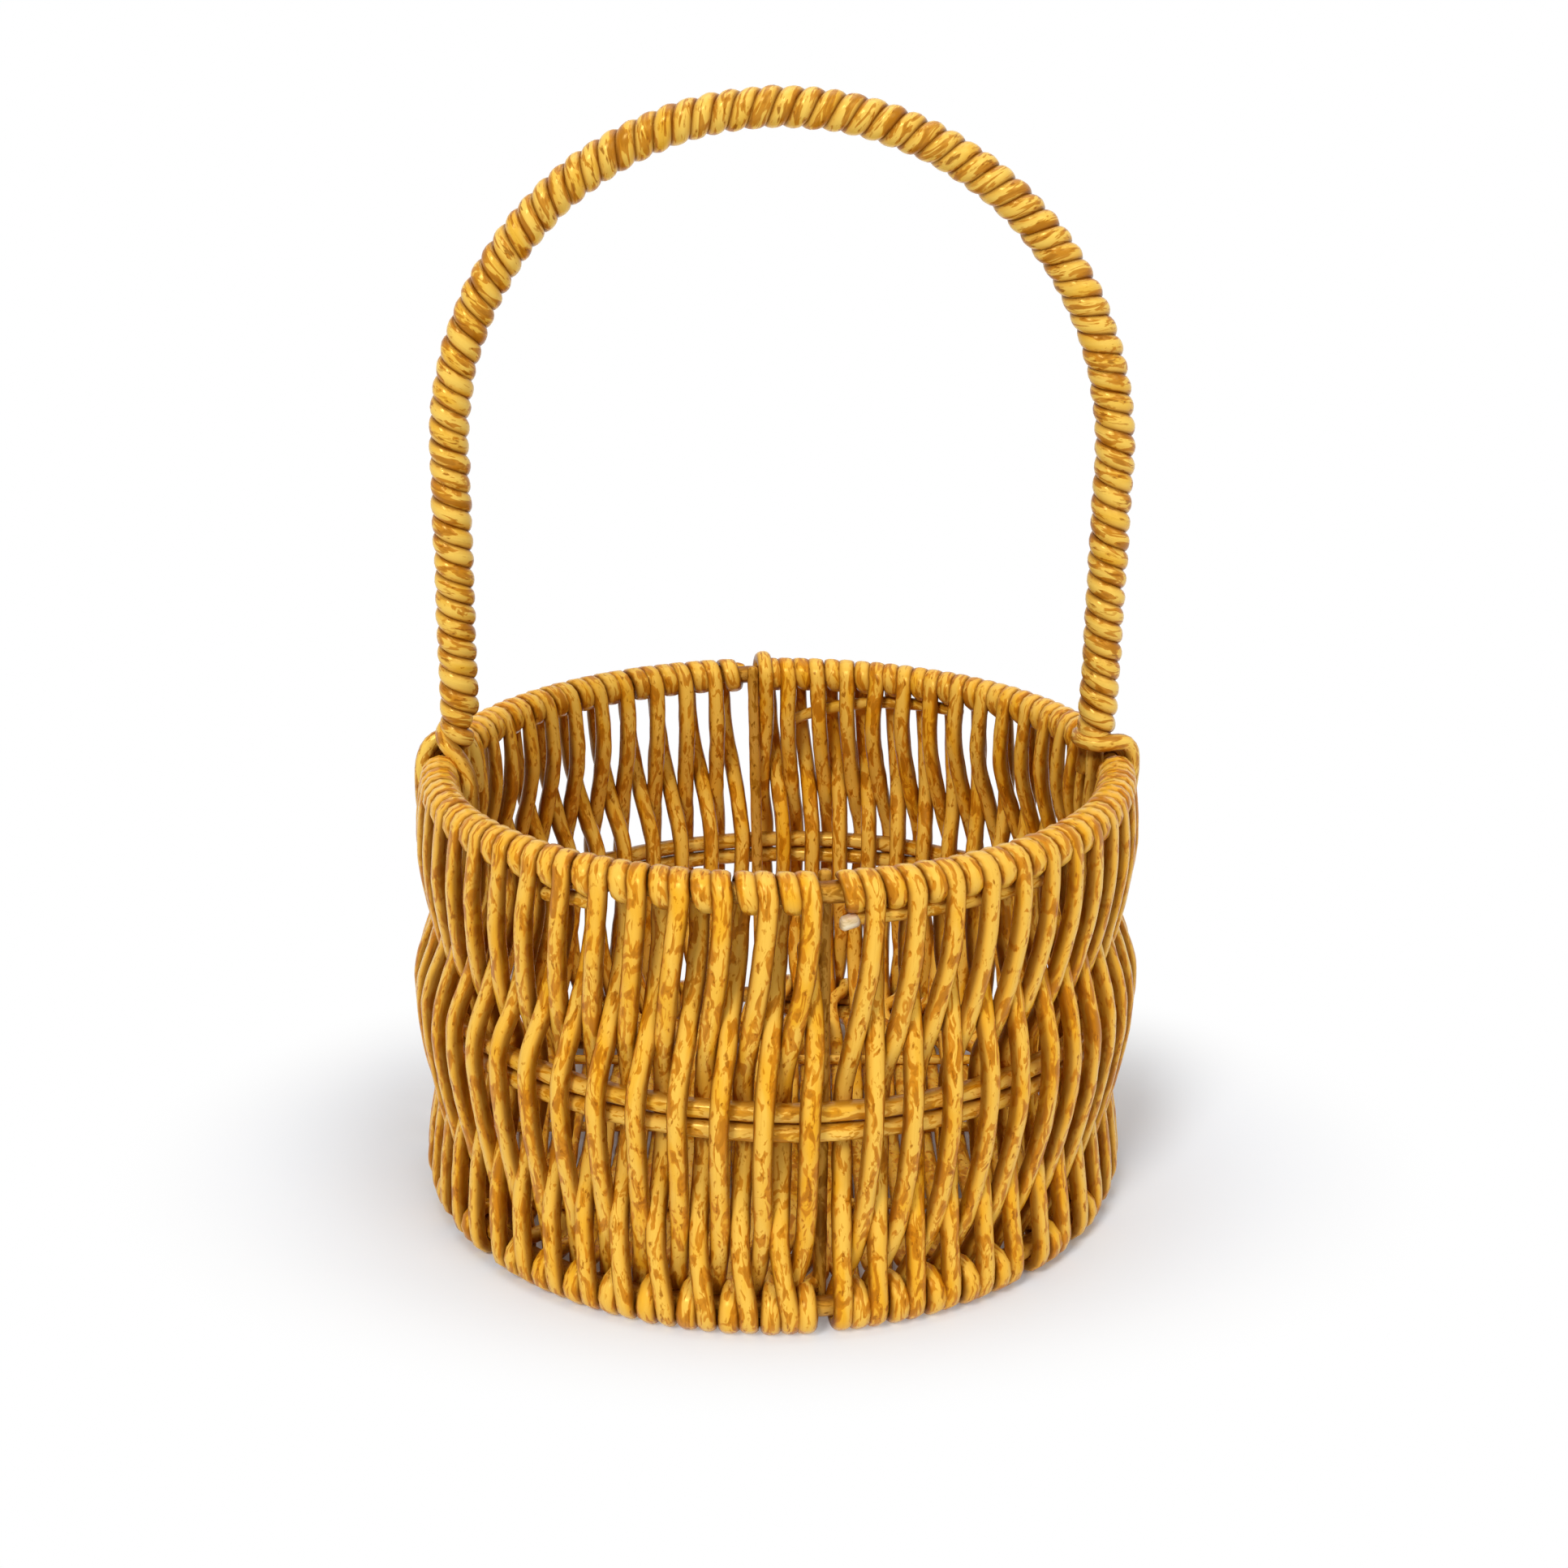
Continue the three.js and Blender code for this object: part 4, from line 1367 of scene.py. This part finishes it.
    def _run(self, loops: Sequence[tuple[float, bool]], first: int, share: int) -> list[Stop]:
        """Lays one floor strand through its loops.

        Args:
            loops: All the loops, each an azimuth and whether it is in front.
            first: The strand's first loop.
            share: How many loops it makes.

        Returns:
            The stops.
        """
        pitch = 2 * self.chord_reach / (len(loops) - 2)
        stops: list[Stop] = []
        last = min(first + share, len(loops)) - 1
        for index in range(first, last + 1):
            azimuth, is_front = loops[index]
            side = 1 if is_front else -1
            arriving, leaving = self._neck(azimuth, self.rise, -side), self._neck(azimuth, -self.dip, side)
            stops += [arriving, *self._drop(azimuth), leaving]
            if index + 1 < len(loops):
                following = loops[index + 1][0]
                start, end = (STANCE.point(place, self.reach, 0.0).y for place in (azimuth, following))
                stops += self._chord(start, end, side, index, index * pitch - self.chord_reach)
                if index == last:
                    stops.append(self._neck(following, self.rise, side))
        return stops

    def build(self, strand: Material, rib: Material) -> None:
        """Makes the floor strands and the ribs.

        Args:
            strand: The finish of the strands.
            rib: The finish of the ribs.
        """
        loops: list[tuple[float, bool]] = []
        for front, back in zip(self._places(True), self._places(False)):
            loops += [(front, True), (back, False)]
        share = math.ceil(len(loops) / self.strands)
        for i in range(self.strands):
            stops = self._run(loops, i * share, share)
            run = Strand(f"floor_strand_{i + 1}", stops, self._way, self.strand_seed + i).build(strand)
            for azimuth, aside, owner in self.loose_ends:
                if owner == i:
                    stops = self._loose_end(azimuth, aside)
                    end = Strand("floor_loose_end", stops, self._way, self.loose_seed + i).build(strand)
                    run = joined(run.name, (run, end))
            settle(run, (f"floor_cane_{i + 1}",))
        for seed, (name, place) in enumerate(self.ribs, start=self.rib_seed):
            half = math.sqrt(self.rib_reach ** 2 - place ** 2)
            stops = [
                Stop(Vector((x, place, self.height)), self.rib_size, self.rib_size)
                for x in (-half, -half / 3, half / 3, half)
            ]
            piece = Strand(f"floor_{name}_rib", stops, upwards, seed, squareness=ROUND)
            settle(piece.build(rib), (f"floor_rib_{name}",))


@dataclass(frozen=True)
class Sun:
    """A far, wide lamp: its azimuth from the front, elevation, angle across and strength."""

    name: str
    azimuth: float
    elevation: float
    spread: float
    strength: float

    def build(self) -> None:
        """Adds the lamp."""
        light = bpy.data.lights.new(self.name, "SUN")
        light.angle = math.radians(self.spread)
        light.energy = self.strength
        lamp = bpy.data.objects.new(self.name, light)
        lamp.rotation_euler = (math.radians(90.0 - self.elevation), 0.0, math.radians(self.azimuth))
        bpy.context.scene.collection.objects.link(lamp)


@dataclass
class Studio:
    """The pale floor, the soft suns and the camera."""

    lens: float = 48.02
    sensor: float = 36.0
    clip_start: float = 0.01
    tilt: float = 70.863
    eye: Triple = (0.0027, -0.5516, 0.3060)
    world_strength: float = 0.15
    floor_half: float = 40.0
    suns: tuple[Sun, ...] = (
        Sun("key_sun", -24.0, 43.0, 16.0, 1.78),
        Sun("fill_sun", 38.0, 38.0, 34.0, 0.85),
        Sun("top_sun", 170.0, 82.0, 50.0, 1.15),
    )

    def build(self) -> None:
        """Sets up everything round the basket."""
        self._floor()
        self._world()
        for sun in self.suns:
            sun.build()
        self._camera()

    def _floor(self) -> None:
        """Lays a wide level plane at the basket's foot."""
        half = self.floor_half
        mesh = bpy.data.meshes.new("studio_floor")
        corners = ((-half, -half), (half, -half), (half, half), (-half, half))
        mesh.from_pydata([(x, y, 0.0) for x, y in corners], [], [(0, 1, 2, 3)])
        mesh.materials.append(FloorFinish().material())
        plane = bpy.data.objects.new("studio_floor", mesh)
        bpy.context.scene.collection.objects.link(plane)

    def _world(self) -> None:
        """Sets plain soft light, and a white background for the camera and in gloss."""
        sheet = Sheet(bpy.data.worlds.new("studio_light"))
        seen, glossy, through = (
            sheet.add("ShaderNodeLightPath", {}, {}, output=f"Is {ray} Ray")
            for ray in ("Camera", "Glossy", "Transmission")
        )
        soft = sheet.add("ShaderNodeBackground", {}, {"Color": WHITE, "Strength": self.world_strength})
        backdrop = sheet.add("ShaderNodeBackground", {}, {"Color": WHITE, "Strength": 1.0})
        factor = seen.largest(glossy).largest(through)
        light = sheet.add("ShaderNodeMixShader", {}, {0: factor, 1: soft, 2: backdrop})
        bpy.context.scene.world = sheet.finish(light)

    def _camera(self) -> None:
        """Sets the camera at the photograph's place."""
        data = bpy.data.cameras.new("camera")
        data.lens = self.lens
        data.sensor_width = self.sensor
        data.clip_start = self.clip_start
        camera = bpy.data.objects.new("camera", data)
        camera.location = self.eye
        camera.rotation_euler = (math.radians(self.tilt), 0.0, 0.0)
        bpy.context.scene.collection.objects.link(camera)
        bpy.context.scene.camera = camera


STRAW = StrandFinish(
    name="straw_strand",
    pale=(0.88, 0.515, 0.075, 1.0), warm=(0.85, 0.40, 0.011, 1.0),
    blotch=(0.57, 0.18, 0.001, 1.0), fleck=(0.30, 0.085, 0.001, 1.0),
)
GOLDEN = StrandFinish(
    name="golden_wrap",
    pale=(0.87, 0.56, 0.10, 1.0), warm=(0.80, 0.42, 0.025, 1.0),
    blotch=(0.50, 0.16, 0.002, 1.0), fleck=(0.26, 0.075, 0.001, 1.0),
    # Stronger painted shade at the very sides, in the gaps between the binding's turns
    gap_shade_share=0.90, gloss=0.20, specular=0.42,
)
AMBER = StrandFinish(
    name="amber_weaver",
    pale=(0.94, 0.57, 0.10, 1.0), warm=(0.88, 0.46, 0.025, 1.0),
    blotch=(0.64, 0.24, 0.003, 1.0), fleck=(0.34, 0.10, 0.001, 1.0),
    # Weaker painted shade at the very sides
    gap_shade_share=0.6, gloss=0.19, specular=0.45,
)
BROWN = StrandFinish(
    name="brown_rod",
    pale=(0.62, 0.32, 0.05, 1.0), warm=(0.52, 0.24, 0.02, 1.0),
    blotch=(0.36, 0.135, 0.004, 1.0), fleck=(0.17, 0.05, 0.001, 1.0),
    gloss=0.38,
)
RAW = StrandFinish(
    name="raw_cut",
    pale=(0.86, 0.77, 0.60, 1.0), warm=(0.80, 0.66, 0.42, 1.0),
    blotch=(0.66, 0.46, 0.20, 1.0), fleck=(0.40, 0.24, 0.08, 1.0),
    # Paler and weaker painted shade at the very sides
    painted_gap_shade=(0.45, 0.30, 0.14, 1.0), blotch_share=0.5, gap_shade_share=0.4, gloss=0.45,
)


def main() -> None:
    """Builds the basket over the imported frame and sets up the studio."""
    logging.basicConfig(level=logging.INFO, format="%(name)s: %(message)s")
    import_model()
    straw, golden, amber, brown, raw = (finish.material() for finish in (STRAW, GOLDEN, AMBER, BROWN, RAW))
    Hoops().build(brown, amber)
    Wall().build(straw)
    Uprights().build(brown)
    Handle().build(golden)
    Tails().build(amber, raw)
    Floor().build(straw, amber)
    Studio().build()
    bpy.context.scene.view_settings.view_transform = "Standard"


if __name__ == "__main__":
    main()
